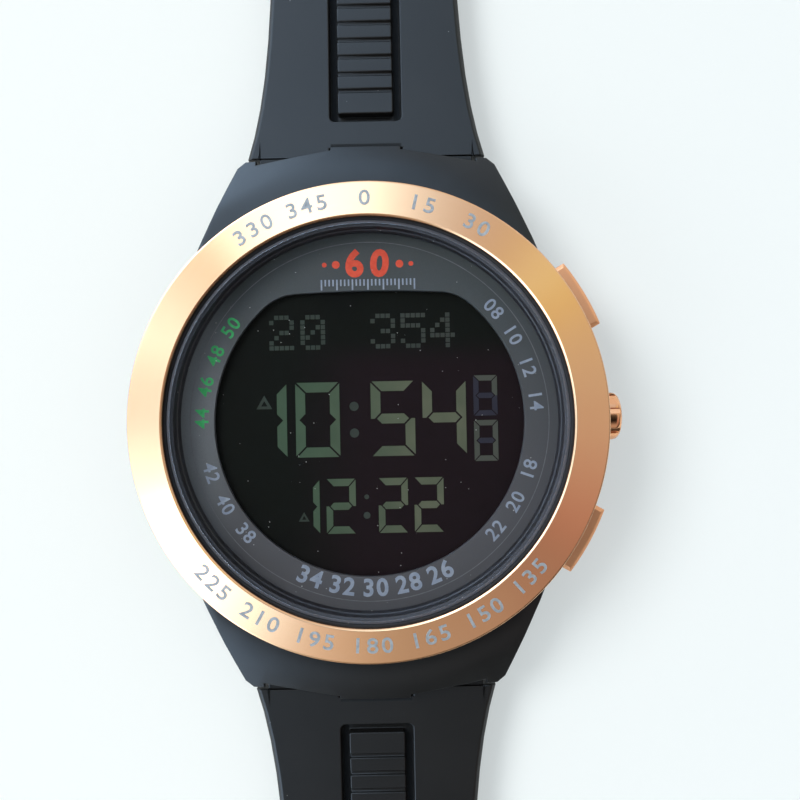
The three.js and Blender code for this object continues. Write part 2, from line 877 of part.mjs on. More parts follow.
function buzzerDisc() {
  const bottom = backInside + seatGap / 2;
  const middle = bottom + buzzerThickness;
  const profile = [
    [0, bottom],
    [buzzerRadius, bottom],
    [buzzerRadius, middle],
    [ceramicRadius, middle],
    [ceramicRadius, middle + ceramicThickness],
    [0, middle + ceramicThickness],
  ];
  return turned(profile, hiddenSteps);
}

function buzzerContact() {
  const bottom = backInside + seatGap + buzzerThickness + seatGap;
  const top = boardBottom - seatGap;
  const geometry = woundWire(contactCoilRadius, contactWireRadius, bottom, top, contactTurns);
  geometry.translate(contactX, contactY, 0);
  return solidOf(geometry);
}

const domeRadiusShares = [0.85, 0.5];
const domeHeightShares = [0.55, 0.9];

function controllerChip() {
  const bottom = boardTop + seatGap;
  const profile = [
    [0, bottom],
    [chipRadius, bottom],
    [chipRadius * domeRadiusShares[0], bottom + chipHeight * domeHeightShares[0]],
    [chipRadius * domeRadiusShares[1], bottom + chipHeight * domeHeightShares[1]],
    [0, bottom + chipHeight],
  ];
  return turned(profile, smallSteps, chipX, chipY);
}

function compassSensor() {
  const bottom = boardTop + seatGap;
  const half = sensorSide / 2;
  return block(
    sensorX - half, sensorX + half, sensorY - half, sensorY + half, bottom, bottom + sensorHeight);
}

function quartzCan() {
  const height = boardTop + seatGap + quartzRadius;
  const half = quartzLength / 2;
  return rod(quartzRadius, quartzX - half, quartzX + half, quartzY, height, tinySteps);
}

function boosterCoil() {
  const bottom = boardTop + seatGap;
  const top = bottom + coilHeight;
  const profile = [
    [0, bottom],
    [coilRadius, bottom],
    [coilRadius, bottom + coilFlange],
    [coilRadius - coilWaist, bottom + 2 * coilFlange],
    [coilRadius - coilWaist, top - 2 * coilFlange],
    [coilRadius, top - coilFlange],
    [coilRadius, top],
    [0, top],
  ];
  return turned(profile, smallSteps, coilX, coilY);
}

function caseBack() {
  const profile = [
    [0, 0],
    [backPadRadius, 0],
    [backPadRadius + backPadDrop, backPadDrop],
    [backRadius, backPadDrop],
    [backRadius, backFlangeTop],
    [backPadRadius + backPadDrop, backFlangeTop],
    [backPadRadius + backPadDrop - backHollow, backInside],
    [0, backInside],
  ];
  const headTop = backPadDrop + screwHeadThickness + runningGap;
  const holes = screwPlaces().flatMap(([x, y]) => [
    disc(screwHeadRadius + runningGap, backPadDrop - cutOverrun, headTop, tinySteps, x, y),
    disc(screwShankRadius + runningGap, backPadDrop, backFlangeTop + cutOverrun, tinySteps, x, y),
  ]);
  return cutBy(turned(profile, roundSteps), holes);
}

function backScrew(x, y) {
  const headTop = backPadDrop + screwHeadThickness;
  const profile = [
    [0, backPadDrop],
    [screwHeadRadius, backPadDrop],
    [screwHeadRadius, headTop],
    [screwShankRadius, headTop],
    [screwShankRadius, headTop + screwShankLength],
    [0, headTop + screwShankLength],
  ];
  const long = screwHeadRadius + cutOverrun;
  const wide = screwSlotWidth / 2;
  const slot = block(-long, long, -wide, wide, backPadDrop - cutOverrun, backPadDrop + screwSlotDepth);
  const screw = turned(profile, tinySteps).subtract(slot);
  return screw.translate([x, y, 0]);
}

// Buttons, drawn along +X and turned to their hour
function alongButton(solid) {
  return solid.rotate([0, 90, 0]).translate([0, 0, buttonHeight]);
}

function buttonStem(capStart) {
  const shaft = rod(stemRadius, stemEnd, capStart, 0, buttonHeight, smallSteps);
  const middle = (clipInnerFace + clipOuterFace) / 2;
  const half = clipGrooveWidth / 2;
  const core = rod(stemRadius - clipGrooveDepth, middle - cutOverrun, middle + cutOverrun, 0, buttonHeight,
    smallSteps);
  const sleeve = rod(stemRadius + cutOverrun, middle - half, middle + half, 0, buttonHeight, smallSteps);
  return shaft.subtract(sleeve.subtract(core));
}

function pusher() {
  const face = caseRadius + pusherReach;
  const edge = pusherHalfWidth;
  const sweep = Math.asin(edge / face);
  const outline = [[capInside, -edge], [face * Math.cos(sweep), -edge]];
  const arcSteps = 6;
  for (let k = 1; k < arcSteps; k += 1) {
    const angle = -sweep + (2 * sweep * k) / arcSteps;
    outline.push([face * Math.cos(angle), face * Math.sin(angle)]);
  }
  outline.push([face * Math.cos(sweep), edge], [capInside, edge]);
  const geometry = new THREE.ExtrudeGeometry(polygon(outline), {
    depth: pusherHeight - 2 * pusherEdge,
    bevelThickness: pusherEdge, bevelSize: pusherEdge, bevelOffset: -pusherEdge, bevelSegments: 1,
  });
  geometry.translate(0, 0, buttonHeight - pusherHeight / 2 + pusherEdge);
  return solidOf(geometry).add(buttonStem(capInside + pusherEdge + stemRadius));
}

// The 3 o'clock button looks like a crown, with a fluted rim and a domed end
const crownDomeShares = [0, 0.3, 0.6, 0.85, 1];

function crownButton() {
  const face = caseRadius + crownReach;
  const profile = [[0, capInside], [crownRadius, capInside]];
  crownDomeShares.forEach((share) => {
    const angle = (Math.PI / 2) * share;
    const radius = crownRadius - crownRound + crownRound * Math.cos(angle);
    profile.push([radius, face - crownRound + crownRound * Math.sin(angle)]);
  });
  profile.push([0, face]);
  const grooves = [];
  for (let k = 0; k < flutes; k += 1) {
    const groove = block(
      crownRadius - crownFlute, crownRadius + cutOverrun, -crownFluteHalfWidth, crownFluteHalfWidth,
      capInside - cutOverrun, face + cutOverrun);
    grooves.push(turnedAboutZ(groove, (2 * Math.PI * (k + fluteShare)) / flutes));
  }
  const head = cutBy(turned(profile, 3 * flutes), grooves);
  return alongButton(head).add(buttonStem(capInside + crownRound));
}

function circlip() {
  const ring = turnedRing(
    stemRadius - clipGrooveDepth + runningGap, circlipRadius, clipInnerFace, clipOuterFace, smallSteps);
  const gate = block(
    -circlipGateHalfWidth, circlipGateHalfWidth, 0, circlipRadius + cutOverrun,
    clipInnerFace - cutOverrun, clipOuterFace + cutOverrun);
  return alongButton(ring.subtract(gate));
}

function stemSeal() {
  const middle = stemRadius + runningGap / 2 + sealSection;
  const ring = roundRing(middle, sealSection, sealPlace, tinySteps, ringSectionSteps);
  return alongButton(ring);
}

function buttonSpring() {
  const geometry = woundWire(
    springRadius, springWireRadius, springSeat + seatGap, capInside - seatGap, springTurns);
  geometry.rotateY(Math.PI / 2);
  geometry.translate(0, 0, buttonHeight);
  return solidOf(geometry);
}

function buttonGroup(name, head, angle) {
  const group = new THREE.Group();
  group.rotation.z = angle;
  group.add(
    meshOf(name, head, roseGold),
    meshOf(`${name}_spring`, buttonSpring(), steel),
    meshOf(`${name}_seal`, stemSeal(), sealRubber),
    meshOf(`${name}_circlip`, circlip(), steel),
  );
  return group;
}

// Strap halves are drawn from their spring bar, with +Y away from the case
function flared(distance) {
  return Math.exp(-Math.max(0, distance - wingStart) / flareLength);
}

function thickness(distance) {
  const extra = shoulderThickness - bandThickness;
  return bandThickness + extra * Math.exp(-Math.max(0, distance - wingStart) / thinningLength);
}

function smoothShare(distance, from, to) {
  const share = Math.min(1, Math.max(0, (distance - from) / (to - from)));
  return share * share * (3 - 2 * share);
}

const standing = strapLift - pivotHeight;
const lying = floorGap - pivotHeight;

function buckleUnderside(distance) {
  return standing + (-shoulderUnderside - standing) * flared(distance);
}

function tailUnderside(distance) {
  return buckleUnderside(distance) + (lying - standing) * smoothShare(distance, settleFrom, settleTo);
}

function buckleHalfWidth(distance) {
  return bandHalfWidth + (shoulderHalfWidth - bandHalfWidth) * flared(distance);
}

function tailWidth(distance) {
  const narrowing = (bandHalfWidth - tailHalfWidth) * smoothShare(distance, settleFrom, tailHalfLength);
  const width = buckleHalfWidth(distance) - narrowing;
  const tip = Math.max(0, distance - (tailHalfLength - tailTipLength)) / tailTipLength;
  return tailTipHalfWidth + (width - tailTipHalfWidth) * Math.sqrt(1 - tip * tip);
}

function strapSection(distance, halfWidth, underside) {
  const low = underside(distance);
  const high = low + thickness(distance);
  const wide = halfWidth(distance);
  const ring = [
    [-wide, low + strapEdge], [-wide + strapEdge, low], [wide - strapEdge, low], [wide, low + strapEdge],
    [wide, high - strapEdge], [wide - strapEdge, high], [-wide + strapEdge, high], [-wide, high - strapEdge],
  ];
  return ring.map(([x, z]) => new THREE.Vector3(x, distance, z));
}

// Sections lie close together in the flare and the settling curve, and at the tail's round tip
const flareShares = [0, 0.12, 0.26, 0.42, 0.6, 0.8, 1];
const tipShares = [0.3, 0.55, 0.75, 0.88, 0.96, 1];
const settleSteps = 6;

function flareStations() {
  return flareShares.map((share) => wingStart + share * (settleFrom - wingStart));
}

function tailStations() {
  const stations = flareStations();
  for (let k = 1; k <= settleSteps; k += 1) {
    stations.push(settleFrom + ((settleTo - settleFrom) * k) / settleSteps);
  }
  const tipStart = tailHalfLength - tailTipLength;
  stations.push((settleTo + tipStart) / 2, tipStart);
  return [...stations, ...tipShares.map((share) => tipStart + share * tailTipLength)];
}

// A cut that follows the strap's top surface, seen as a strip in plan
function topStrip(xFrom, xTo, from, to, depth, steps, underside) {
  const rings = [];
  for (let k = 0; k <= steps; k += 1) {
    const distance = from + ((to - from) * k) / steps;
    const high = underside(distance) + thickness(distance);
    const low = high - depth;
    const over = high + cutOverrun;
    const ring = [[xFrom, low], [xTo, low], [xTo, over], [xFrom, over]];
    rings.push(ring.map(([x, z]) => new THREE.Vector3(x, distance, z)));
  }
  return lofted(rings);
}

// A rectangle in plan with rounded corners
function roundedBox(half, from, to, corner) {
  const shape = new THREE.Shape();
  shape.moveTo(half, from + corner);
  shape.absarc(half - corner, to - corner, corner, 0, Math.PI / 2, false);
  shape.absarc(-half + corner, to - corner, corner, Math.PI / 2, Math.PI, false);
  shape.absarc(-half + corner, from + corner, corner, Math.PI, (3 * Math.PI) / 2, false);
  shape.absarc(half - corner, from + corner, corner, (3 * Math.PI) / 2, 2 * Math.PI, false);
  const outline = new THREE.Shape(shape.getPoints(cornerSteps));
  return raised(outline, -pivotHeight, shoulderThickness + cutOverrun);
}

// A channel round a raised panel, and the grooves that cross the panel
function ribbedRecess(underside) {
  const end = recessStart + recessLength;
  const panel = recessHalfWidth - panelGap;
  const channelSteps = 6;
  const basin = topStrip(
    -recessHalfWidth, recessHalfWidth, recessStart, end, recessDepth, channelSteps, underside);
  const channel = basin
    .intersect(roundedBox(recessHalfWidth, recessStart, end, recessCorner))
    .subtract(roundedBox(panel, recessStart + panelGap, end - panelGap, panelCorner));
  const strips = [channel];
  for (let k = 0; k < ribCount; k += 1) {
    const from = recessStart + ribFirst + k * ribPitch - ribGroove / 2;
    strips.push(topStrip(-panel - seatGap, panel + seatGap, from, from + ribGroove, ribDepth, 1, underside));
  }
  return joined(strips);
}

// The strap's end lies under the case's end wall and turns on the spring bar
function strapKnuckle() {
  const half = knuckleHalfLength;
  const barrel = rod(knuckleRadius, -half, half, 0, 0, smallSteps);
  const shoulderTop = shoulderThickness - shoulderUnderside;
  const web = block(-half, half, 0, wingStart + seatGap / 2, -shoulderUnderside, shoulderTop);
  return barrel.add(web);
}

function roofCutter() {
  const tab = endTabReach + endTabGap;
  const slantStart = endTabReach + edgeGap - endTabStep;
  const shape = polygon([
    [-lugGap / 2, -knuckleRadius - cutOverrun],
    [lugGap / 2, -knuckleRadius - cutOverrun],
    [lugGap / 2, slantStart - endSlant],
    [endTabHalfWidth + edgeGap, slantStart],
    [endTabHalfWidth + edgeGap, tab],
    [-endTabHalfWidth - edgeGap, tab],
    [-endTabHalfWidth - edgeGap, slantStart],
    [-lugGap / 2, slantStart - endSlant],
  ]);
  const low = roofUnderside - pivotHeight - roofGap - seatGap;
  return raised(shape, low, shoulderThickness + cutOverrun);
}

function barBore() {
  const half = knuckleHalfLength + cutOverrun;
  return rod(barRadius + runningGap, -half, half, 0, 0, smallSteps);
}

const bucklePinHeight = standing + bandThickness / 2;

function buckleHalf() {
  const stations = [...flareStations(), (settleFrom + buckleHalfLength) / 2, buckleHalfLength];
  const band = lofted(stations.map((distance) => strapSection(distance, buckleHalfWidth, buckleUnderside)));
  const endKnuckle = rod(
    buckleKnuckleRadius, -bandHalfWidth, bandHalfWidth, buckleHalfLength, bucklePinHeight, smallSteps);
  const pinBore = rod(
    bucklePinRadius + runningGap, -bandHalfWidth - cutOverrun, bandHalfWidth + cutOverrun,
    buckleHalfLength, bucklePinHeight, tinySteps);
  const slot = block(
    -slotHalfWidth, slotHalfWidth, buckleHalfLength - slotDepth,
    buckleHalfLength + buckleKnuckleRadius + cutOverrun,
    bucklePinHeight - buckleKnuckleRadius - cutOverrun,
    bucklePinHeight + buckleKnuckleRadius + cutOverrun);
  return cutBy(joined([band, endKnuckle, strapKnuckle()]), [
    roofCutter(), barBore(), pinBore, slot, ribbedRecess(buckleUnderside),
  ]);
}

function adjustmentHole(distance) {
  const shape = new THREE.Shape();
  shape.absarc(0, distance + holeStraight / 2, holeHalfWidth, 0, Math.PI, false);
  shape.absarc(0, distance - holeStraight / 2, holeHalfWidth, Math.PI, 2 * Math.PI, false);
  const low = lying - cutOverrun;
  const high = standing + bandThickness + cutOverrun;
  return raised(new THREE.Shape(shape.getPoints(holeSteps)), low, high);
}

function tailHalf() {
  const band = lofted(tailStations().map((distance) => strapSection(distance, tailWidth, tailUnderside)));
  const holes = [];
  for (let k = 0; k < holeCount; k += 1) {
    holes.push(adjustmentHole(tailHalfLength - holeTipInset - k * holePitch));
  }
  return cutBy(band.add(strapKnuckle()), [
    roofCutter(), barBore(), ribbedRecess(tailUnderside), ...holes,
  ]);
}

// A turned bar with thin spring-loaded tips that snap into the lugs
function springBar() {
  const half = knuckleHalfLength - seatGap;
  const tip = lugGap / 2 + barTipReach;
  return joined([
    rod(barRadius, -half + barShoulder, half - barShoulder, 0, 0, tinySteps),
    rod((barRadius + barTipRadius) / 2, -half, half, 0, 0, tinySteps),
    rod(barTipRadius, -tip, tip, 0, 0, tinySteps),
  ]);
}

// A loop round the strap with room above it for the tail
function keeper(length) {
  const inner = bandHalfWidth + keeperSideGap;
  const outer = inner + keeperWall;
  const low = standing - (strapLift - keeperWall) + floorGap;
  const innerTop = standing + bandThickness + keeperRoom;
  const rounded = (wide, bottom, top, corner) => polygon([
    [-wide + corner, bottom], [wide - corner, bottom], [wide, bottom + corner], [wide, top - corner],
    [wide - corner, top], [-wide + corner, top], [-wide, top - corner], [-wide, bottom + corner],
  ]);
  const lift = low - keeperWall;
  const shape = rounded(outer, lift, innerTop + keeperWall, keeperCorner);
  shape.holes.push(rounded(inner, low, innerTop, keeperCorner / 2));
  const geometry = new THREE.ExtrudeGeometry(shape, { depth: length, bevelEnabled: false });
  geometry.rotateX(Math.PI / 2);
  geometry.translate(0, length / 2, 0);
  return solidOf(geometry);
}

// The buckle's frame, drawn from its pin: two arms and a bar, bowed down to the ground
function buckleFrame() {
  const inner = bandHalfWidth + armGap;
  const outer = inner + armWidth;
  const toe = frameLength;
  const heel = earRadius;
  const plan = polygon([
    [-outer, -heel], [-inner, -heel], [-inner, toe - frameBar], [inner, toe - frameBar], [inner, -heel],
    [outer, -heel], [outer, toe - frameCorner], [outer - frameCorner / 4, toe - frameCorner / 4],
    [outer - frameCorner, toe], [-outer + frameCorner, toe],
    [-outer + frameCorner / 4, toe - frameCorner / 4], [-outer, toe - frameCorner],
  ]);
  const side = new THREE.Shape();
  side.moveTo(toe, frameToeTop);
  side.quadraticCurveTo(toe / 2, earRadius, 0, earRadius);
  side.absarc(0, 0, earRadius, Math.PI / 2, (5 * Math.PI) / 4, false);
  side.quadraticCurveTo(toe / 2, -frameHeelDrop, toe, frameToeUnderside);
  const low = frameToeUnderside - cutOverrun;
  const high = earRadius + cutOverrun;
  const outline = new THREE.Shape(side.getPoints(ringSectionSteps));
  const profile = sideways(outline, -outer - cutOverrun, outer + cutOverrun);
  const boreEnd = outer - pinEndInset / 2;
  const bore = rod(bucklePinRadius + runningGap, -boreEnd, boreEnd, 0, 0, tinySteps);
  return raised(plan, low, high).intersect(profile).subtract(bore);
}

function bucklePin() {
  const half = bandHalfWidth + armGap + armWidth - pinEndInset;
  return rod(bucklePinRadius, -half, half, 0, 0, tinySteps);
}

// The tongue's eye turns on the pin and its tip rests over the frame's bar
function buckleTongue() {
  const tip = frameLength + tongueOverhang;
  const tipTop = frameToeTop + tongueTipGap + tongueThickness;
  const barStart = frameLength - frameBar;
  const barTop = frameToeTop + tongueTipGap + frameBar / 4;
  const shape = polygon([
    [0, -stemRadius / 2],
    [barStart / 2, tongueArch - tongueThickness],
    [barStart - frameBar / 4, barTop + frameBar / 8],
    [tip, frameToeTop + tongueTipGap],
    [tip, tipTop - tongueThickness / 2],
    [tip - tongueThickness / 2, tipTop - tongueThickness / 4],
    [barStart / 2, tongueArch],
    [0, tongueEyeRadius],
  ]);
  const eye = rod(tongueEyeRadius, -tongueHalfWidth, tongueHalfWidth, 0, 0, smallSteps);
  const boreEnd = tongueHalfWidth + cutOverrun;
  const bore = rod(bucklePinRadius + runningGap, -boreEnd, boreEnd, 0, 0, tinySteps);
  return sideways(shape, -tongueHalfWidth, tongueHalfWidth).add(eye).subtract(bore);
}

// Assembly
const watch = new THREE.Group();

watch.add(
  meshOf('case_body', caseBody(), charcoalResin),
  meshOf('bezel', bezelRing(), roseGold),
  meshOf('crystal', crystalDisc(), mineralGlass),
  meshOf('crystal_gasket', crystalGasket(), sealRubber),
  meshOf('dial_flange_ring', flangeRing(), blackPlastic),
  meshOf('dial_plate', dialPlate(), greyDial),
  meshOf('display_panel', displayPanel(), displayGlass),
  meshOf('reflector_film', reflectorFilm(), whitePlastic),
  meshOf('backlight_panel', backlightPanel(), whitePlastic),
  meshOf('display_connector_strip', contactStrip(), sealRubber),
  meshOf('display_holder', displayHolder(), whitePlastic),
  meshOf('circuit_board', circuitBoard(), greenBoard),
  meshOf('controller_chip', controllerChip(), blackPlastic),
  meshOf('compass_sensor', compassSensor(), blackPlastic),
  meshOf('quartz_can', quartzCan(), steel),
  meshOf('booster_coil', boosterCoil(), brass),
  meshOf('module_frame', moduleFrame(), whitePlastic),
  meshOf('battery_cell', coinCell(), steel),
  meshOf('battery_clip', batteryClip(), steel),
  meshOf('buzzer_contact_spring', buzzerContact(), brass),
  meshOf('buzzer_disc', buzzerDisc(), brass),
  meshOf('case_back', caseBack(), steel),
  meshOf('case_back_gasket',
    roundRing(backGasketRadius, backGasketSection, backSeat + backGasketSection, hiddenSteps, wireSides),
    sealRubber),
);

screwPlaces().forEach(([x, y], k) => {
  watch.add(meshOf(`case_back_screw_${k + 1}`, backScrew(x, y), steel));
});

watch.add(
  buttonGroup('upper_pusher', pusher(), pusherAngles[0]),
  buttonGroup('lower_pusher', pusher(), pusherAngles[1]),
  buttonGroup('crown_button', crownButton(), 0),
);

// The 12 o'clock side carries the buckle and the keepers
const buckleSide = new THREE.Group();
buckleSide.position.set(0, pivotY, pivotHeight);
const fixedKeeper = meshOf('fixed_keeper', keeper(fixedKeeperLength), blackRubber);
fixedKeeper.position.y = buckleHalfLength - fixedKeeperInset - fixedKeeperLength / 2;
const freeKeeper = meshOf('free_keeper', keeper(freeKeeperLength), blackRubber);
freeKeeper.position.y = buckleHalfLength - freeKeeperInset - freeKeeperLength / 2;
const buckle = new THREE.Group();
buckle.position.set(0, buckleHalfLength, bucklePinHeight);
buckle.add(
  meshOf('buckle_frame', buckleFrame(), steel),
  meshOf('buckle_pin', bucklePin(), steel),
  meshOf('buckle_tongue', buckleTongue(), steel),
);
buckleSide.add(
  meshOf('spring_bar_12', springBar(), steel),
  meshOf('strap_buckle_half', buckleHalf(), blackRubber),
  fixedKeeper,
  freeKeeper,
  buckle,
);

const tailSide = new THREE.Group();
tailSide.position.set(0, -pivotY, pivotHeight);
tailSide.rotation.z = Math.PI;
tailSide.add(
  meshOf('spring_bar_6', springBar(), steel),
  meshOf('strap_tail_half', tailHalf(), blackRubber),
);

watch.add(buckleSide, tailSide);

export default watch;
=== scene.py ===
import math

import bpy
from mathutils import Matrix, Vector


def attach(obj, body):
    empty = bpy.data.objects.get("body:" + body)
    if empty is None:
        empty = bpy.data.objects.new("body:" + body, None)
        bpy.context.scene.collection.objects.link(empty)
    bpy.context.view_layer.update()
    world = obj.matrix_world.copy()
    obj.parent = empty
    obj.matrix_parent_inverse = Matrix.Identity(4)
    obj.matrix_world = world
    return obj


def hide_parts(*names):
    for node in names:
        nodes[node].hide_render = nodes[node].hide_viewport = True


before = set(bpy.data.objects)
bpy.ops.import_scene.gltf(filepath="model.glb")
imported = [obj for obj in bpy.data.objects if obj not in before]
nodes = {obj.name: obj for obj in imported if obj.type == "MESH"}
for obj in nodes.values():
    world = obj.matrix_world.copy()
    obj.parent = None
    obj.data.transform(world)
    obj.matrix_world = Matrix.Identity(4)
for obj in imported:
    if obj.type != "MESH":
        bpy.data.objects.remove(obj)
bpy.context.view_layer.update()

# Camera: it hangs over the dial, a hand's breadth above the bezel, leans very slightly towards
# 12 o'clock, and is turned by one degree, so that the band runs a little off the upright.
mm = 0.001
bpy.ops.object.select_all(action="DESELECT")
bpy.ops.object.camera_add(
    location=(3.3 * mm, 0.7 * mm, 96.8 * mm), rotation=(math.radians(1.0), 0, math.radians(-1.12)))
camera = bpy.context.object
camera.data.lens = 36
camera.data.sensor_width = 36
camera.data.clip_start = 1 * mm
bpy.context.scene.camera = camera


# Table: a plain pale sheet that the watch lies on, whiter towards the window on its left. The
# camera sees it and the room behind it as white, gloss mirrors it as white, and its shadow stays.
class Socket:
    """One socket of a material: sums on it add the maths nodes, and make() adds any other node."""

    def __init__(self, tree, socket=None):
        self.tree = tree
        self.socket = socket

    def make(self, kind, settings=(), sockets=(), out=0):
        node = self.tree.nodes.new("ShaderNode" + kind)
        for name, value in dict(settings).items():
            if name == "stops":
                while len(node.color_ramp.elements) < len(value):
                    node.color_ramp.elements.new(1)
                for element, (place, shade) in zip(node.color_ramp.elements, value):
                    element.position = place
                    element.color = (*shade, 1)
            else:
                setattr(node, name, value)
        for key, value in dict(sockets).items():
            if isinstance(value, Socket):
                self.tree.links.new(value.socket, node.inputs[key])
            else:
                node.inputs[key].default_value = value
        return Socket(self.tree, node.outputs[out] if node.outputs else None)

    def sum(self, operation, first, second):
        return self.make("Math", {"operation": operation}, {0: first, 1: second})

    def __add__(self, other):
        return self.sum("ADD", self, other)

    def __sub__(self, other):
        return self.sum("SUBTRACT", self, other)

    def __rsub__(self, other):
        return self.sum("SUBTRACT", other, self)

    def __mul__(self, other):
        return self.sum("MULTIPLY", self, other)

    def __pow__(self, other):
        return self.sum("POWER", self, other)

    __radd__ = __add__
    __rmul__ = __mul__

    def rise(self, low, high):
        """0 below low, 1 above high, and a smooth rise between them."""
        return self.make("MapRange", {"interpolation_type": "SMOOTHSTEP"},
                         {"Value": self, "From Min": low, "From Max": high})

    def blend(self, first, second):
        """first where this socket is 0 and second where it is 1, as colours."""
        def colour(shade):
            return shade if isinstance(shade, Socket) else (*shade, 1)
        return self.make("Mix", {"data_type": "RGBA"}, {
            0: self, 6: colour(first), 7: colour(second)}, out=2)


def material(name):
    look = bpy.data.materials.new(name)
    look.use_nodes = True
    look.node_tree.nodes.clear()
    return look, Socket(look.node_tree)


def place_of(start):
    """Object coordinates, which are the watch's own, in metres."""
    return start.make("TexCoord", out="Object")


def axis(start, name):
    """One of those coordinates: X, Y or Z."""
    return start.make("SeparateXYZ", {}, {"Vector": place_of(start)}, out=name)


def grain(start, size, detail=2.0, rough=0.5, stretch=(1, 1, 1)):
    """Noise whose spots are about size millimetres across, stretched along the axes."""
    place = start.make("Mapping", {}, {"Vector": place_of(start), "Scale": tuple(1 / s for s in stretch)})
    return start.make("TexNoise", {}, {
        "Vector": place, "Scale": 1 / (size * mm), "Detail": detail, "Roughness": rough}, out="Fac")


def surface(start, bump=None, depth=0.01, **sockets):
    """The shader itself; bump is a height from 0 to 1 that stands depth millimetres proud."""
    named = {key.replace("_", " "): value for key, value in sockets.items()}
    if bump is not None:
        named["Normal"] = start.make("Bump", {}, {"Height": bump, "Strength": 1.0, "Distance": depth * mm})
    shader = start.make("BsdfPrincipled", {}, named)
    start.make("OutputMaterial", {}, {"Surface": shader})
    return shader


bpy.ops.object.select_all(action="DESELECT")
bpy.ops.mesh.primitive_plane_add(size=3, location=(0, 0, -0.02 * mm))
table = bpy.context.object
table.name = "table"
table_white, start = material("table_white")
shade = axis(start, "X").rise(-45 * mm, 60 * mm)
paper = shade.blend((0.93, 0.985, 0.985), (0.90, 0.96, 0.97))
seen = start.make("LightPath", out="Is Camera Ray")
glossy = start.make("LightPath", out="Is Glossy Ray")
rays = seen + glossy + start.make("LightPath", out="Is Transmission Ray")
sheet_look = start.make("BsdfPrincipled", {}, {"Base Color": paper, "Roughness": 0.9})
lift = start.make("Emission", {}, {"Color": paper, "Strength": 1.0})
lift_share = 0.42
white = start.make("MixShader", {}, {0: rays * lift_share, 1: sheet_look, 2: lift})
start.make("OutputMaterial", {}, {"Surface": white})
table.data.materials.append(table_white)

# Studio: an even pale room with one window high on the left, which lights what is matt. What gloss
# mirrors goes by compass: bright from the top round to the low left, dim on the right, dark overhead.
world = bpy.data.worlds.new("studio")
bpy.context.scene.world = world
world.use_nodes = True
world.node_tree.nodes.clear()
start = Socket(world.node_tree)
way = start.make("TexCoord", out="Generated")
side = start.make("SeparateXYZ", {}, {"Vector": way}, out="X")
ahead = start.make("SeparateXYZ", {}, {"Vector": way}, out="Y")
height = start.make("SeparateXYZ", {}, {"Vector": way}, out="Z")
compass = start.make("Math", {"operation": "ARCTAN2"}, {0: ahead, 1: side}) * (1 / math.tau) + 0.5
brightest = 6.0


def skyline(lights):
    """A ramp round the compass of (angle, brightness, more red, more blue); bright parts are cooler."""
    stops = []
    for angle, light, *more in lights:
        red, blue = more if more else (0, 0)
        share = min(max((light - 0.6) / 0.9, 0), 1)
        glare = share * share * (3 - 2 * share)
        shade = ((1 - 0.26 * glare) * (1 + red), 1, (1 + 0.34 * glare) * (1 + blue))
        stops.append(((angle + 180) / 360, tuple(light * part / brightest for part in shade)))
    return start.make("ValToRGB", {"stops": stops}, {"Fac": compass}, out="Color")


walls = skyline([
    (-180, 1.45), (-174, 1.9), (-160, 2.6), (-130, 2.6), (-119, 1.6), (-110, 0.98), (-98, 0.72),
    (-88, 0.55), (-60, 0.46, 0.1, 0), (-42, 0.32, 0.3, 0), (-28, 0.37, 0.5, 0), (-8, 0.60, 0.1, 0),
    (10, 0.70, 0, -0.05), (24, 0.80, 0, -0.2), (31, 0.80, 0.08, -0.5), (38, 1.05, 0, -0.38),
    (44, 1.0, 0, -0.3), (52, 0.74, 0, -0.15), (62, 0.72, -0.05, 0.15), (72, 0.98, -0.08, 0.1), (82, 1.42),
    (92, 2.5), (104, 3.0), (122, 2.7), (136, 0.93), (146, 1.25), (156, 1.8), (163, 1.85), (168, 1.4),
    (180, 1.45)])
low_walls = skyline([
    (-180, 1.6), (-150, 3.6), (-128, 4.2), (-112, 0.5), (-85, 0.10), (-45, 0.06), (-10, 0.25), (40, 0.9),
    (80, 0.9), (98, 1.3), (112, 4.0), (130, 5.2), (150, 4.2), (168, 1.8), (180, 1.6)])
ceiling = skyline([
    (-180, 0.7), (-135, 0.16), (-90, 0.02), (-45, 0.01), (0, 0.2), (45, 0.85), (90, 2.1), (130, 3.6),
    (160, 2.1), (180, 0.7)])
walls_edge, ceiling_edge, overhead_edge = (0.38, 0.50), (0.74, 0.86), (0.92, 0.97)
mirrored = height.rise(*walls_edge).blend(low_walls, walls)
mirrored = height.rise(*ceiling_edge).blend(mirrored, ceiling)
mirrored = height.rise(*overhead_edge).blend(mirrored, (0.006, 0.006, 0.006))
mirrored = start.make("VectorMath", {"operation": "SCALE"}, {0: mirrored, "Scale": brightest}, out="Vector")
glossy = start.make("LightPath", out="Is Glossy Ray")
seen = start.make("LightPath", out="Is Camera Ray")
window_way, window_edge = (-0.60, 0.32, 0.73), (0.955, 0.985)
facing = start.make("VectorMath", {"operation": "DOT_PRODUCT"}, {0: way, 1: window_way}, out="Value")
window = facing.rise(*window_edge)
matt_room = window.blend((0.51, 0.525, 0.535), (11.4, 11.4, 11.3))
room = glossy.blend(matt_room, mirrored)
room = seen.blend(room, (0.96, 1.0, 1.0))
back = start.make("Background", {}, {"Color": room, "Strength": 1.0})
start.make("OutputWorld", {}, {"Surface": back})

# Lamp: one small soft box, low on the left, that gives the left edges their glint. It stands
# 60 centimetres away and faces the watch.
lamp_place = Vector((-0.42, -0.26, 0.34))
bpy.ops.object.select_all(action="DESELECT")
bpy.ops.object.light_add(
    type="AREA", location=lamp_place, rotation=lamp_place.to_track_quat("Z", "Y").to_euler())
lamp = bpy.context.object
lamp.name = "low_left_box"
lamp.data.size = 0.22
lamp.data.energy = 0.4
lamp.data.color = (1.0, 0.98, 0.94)

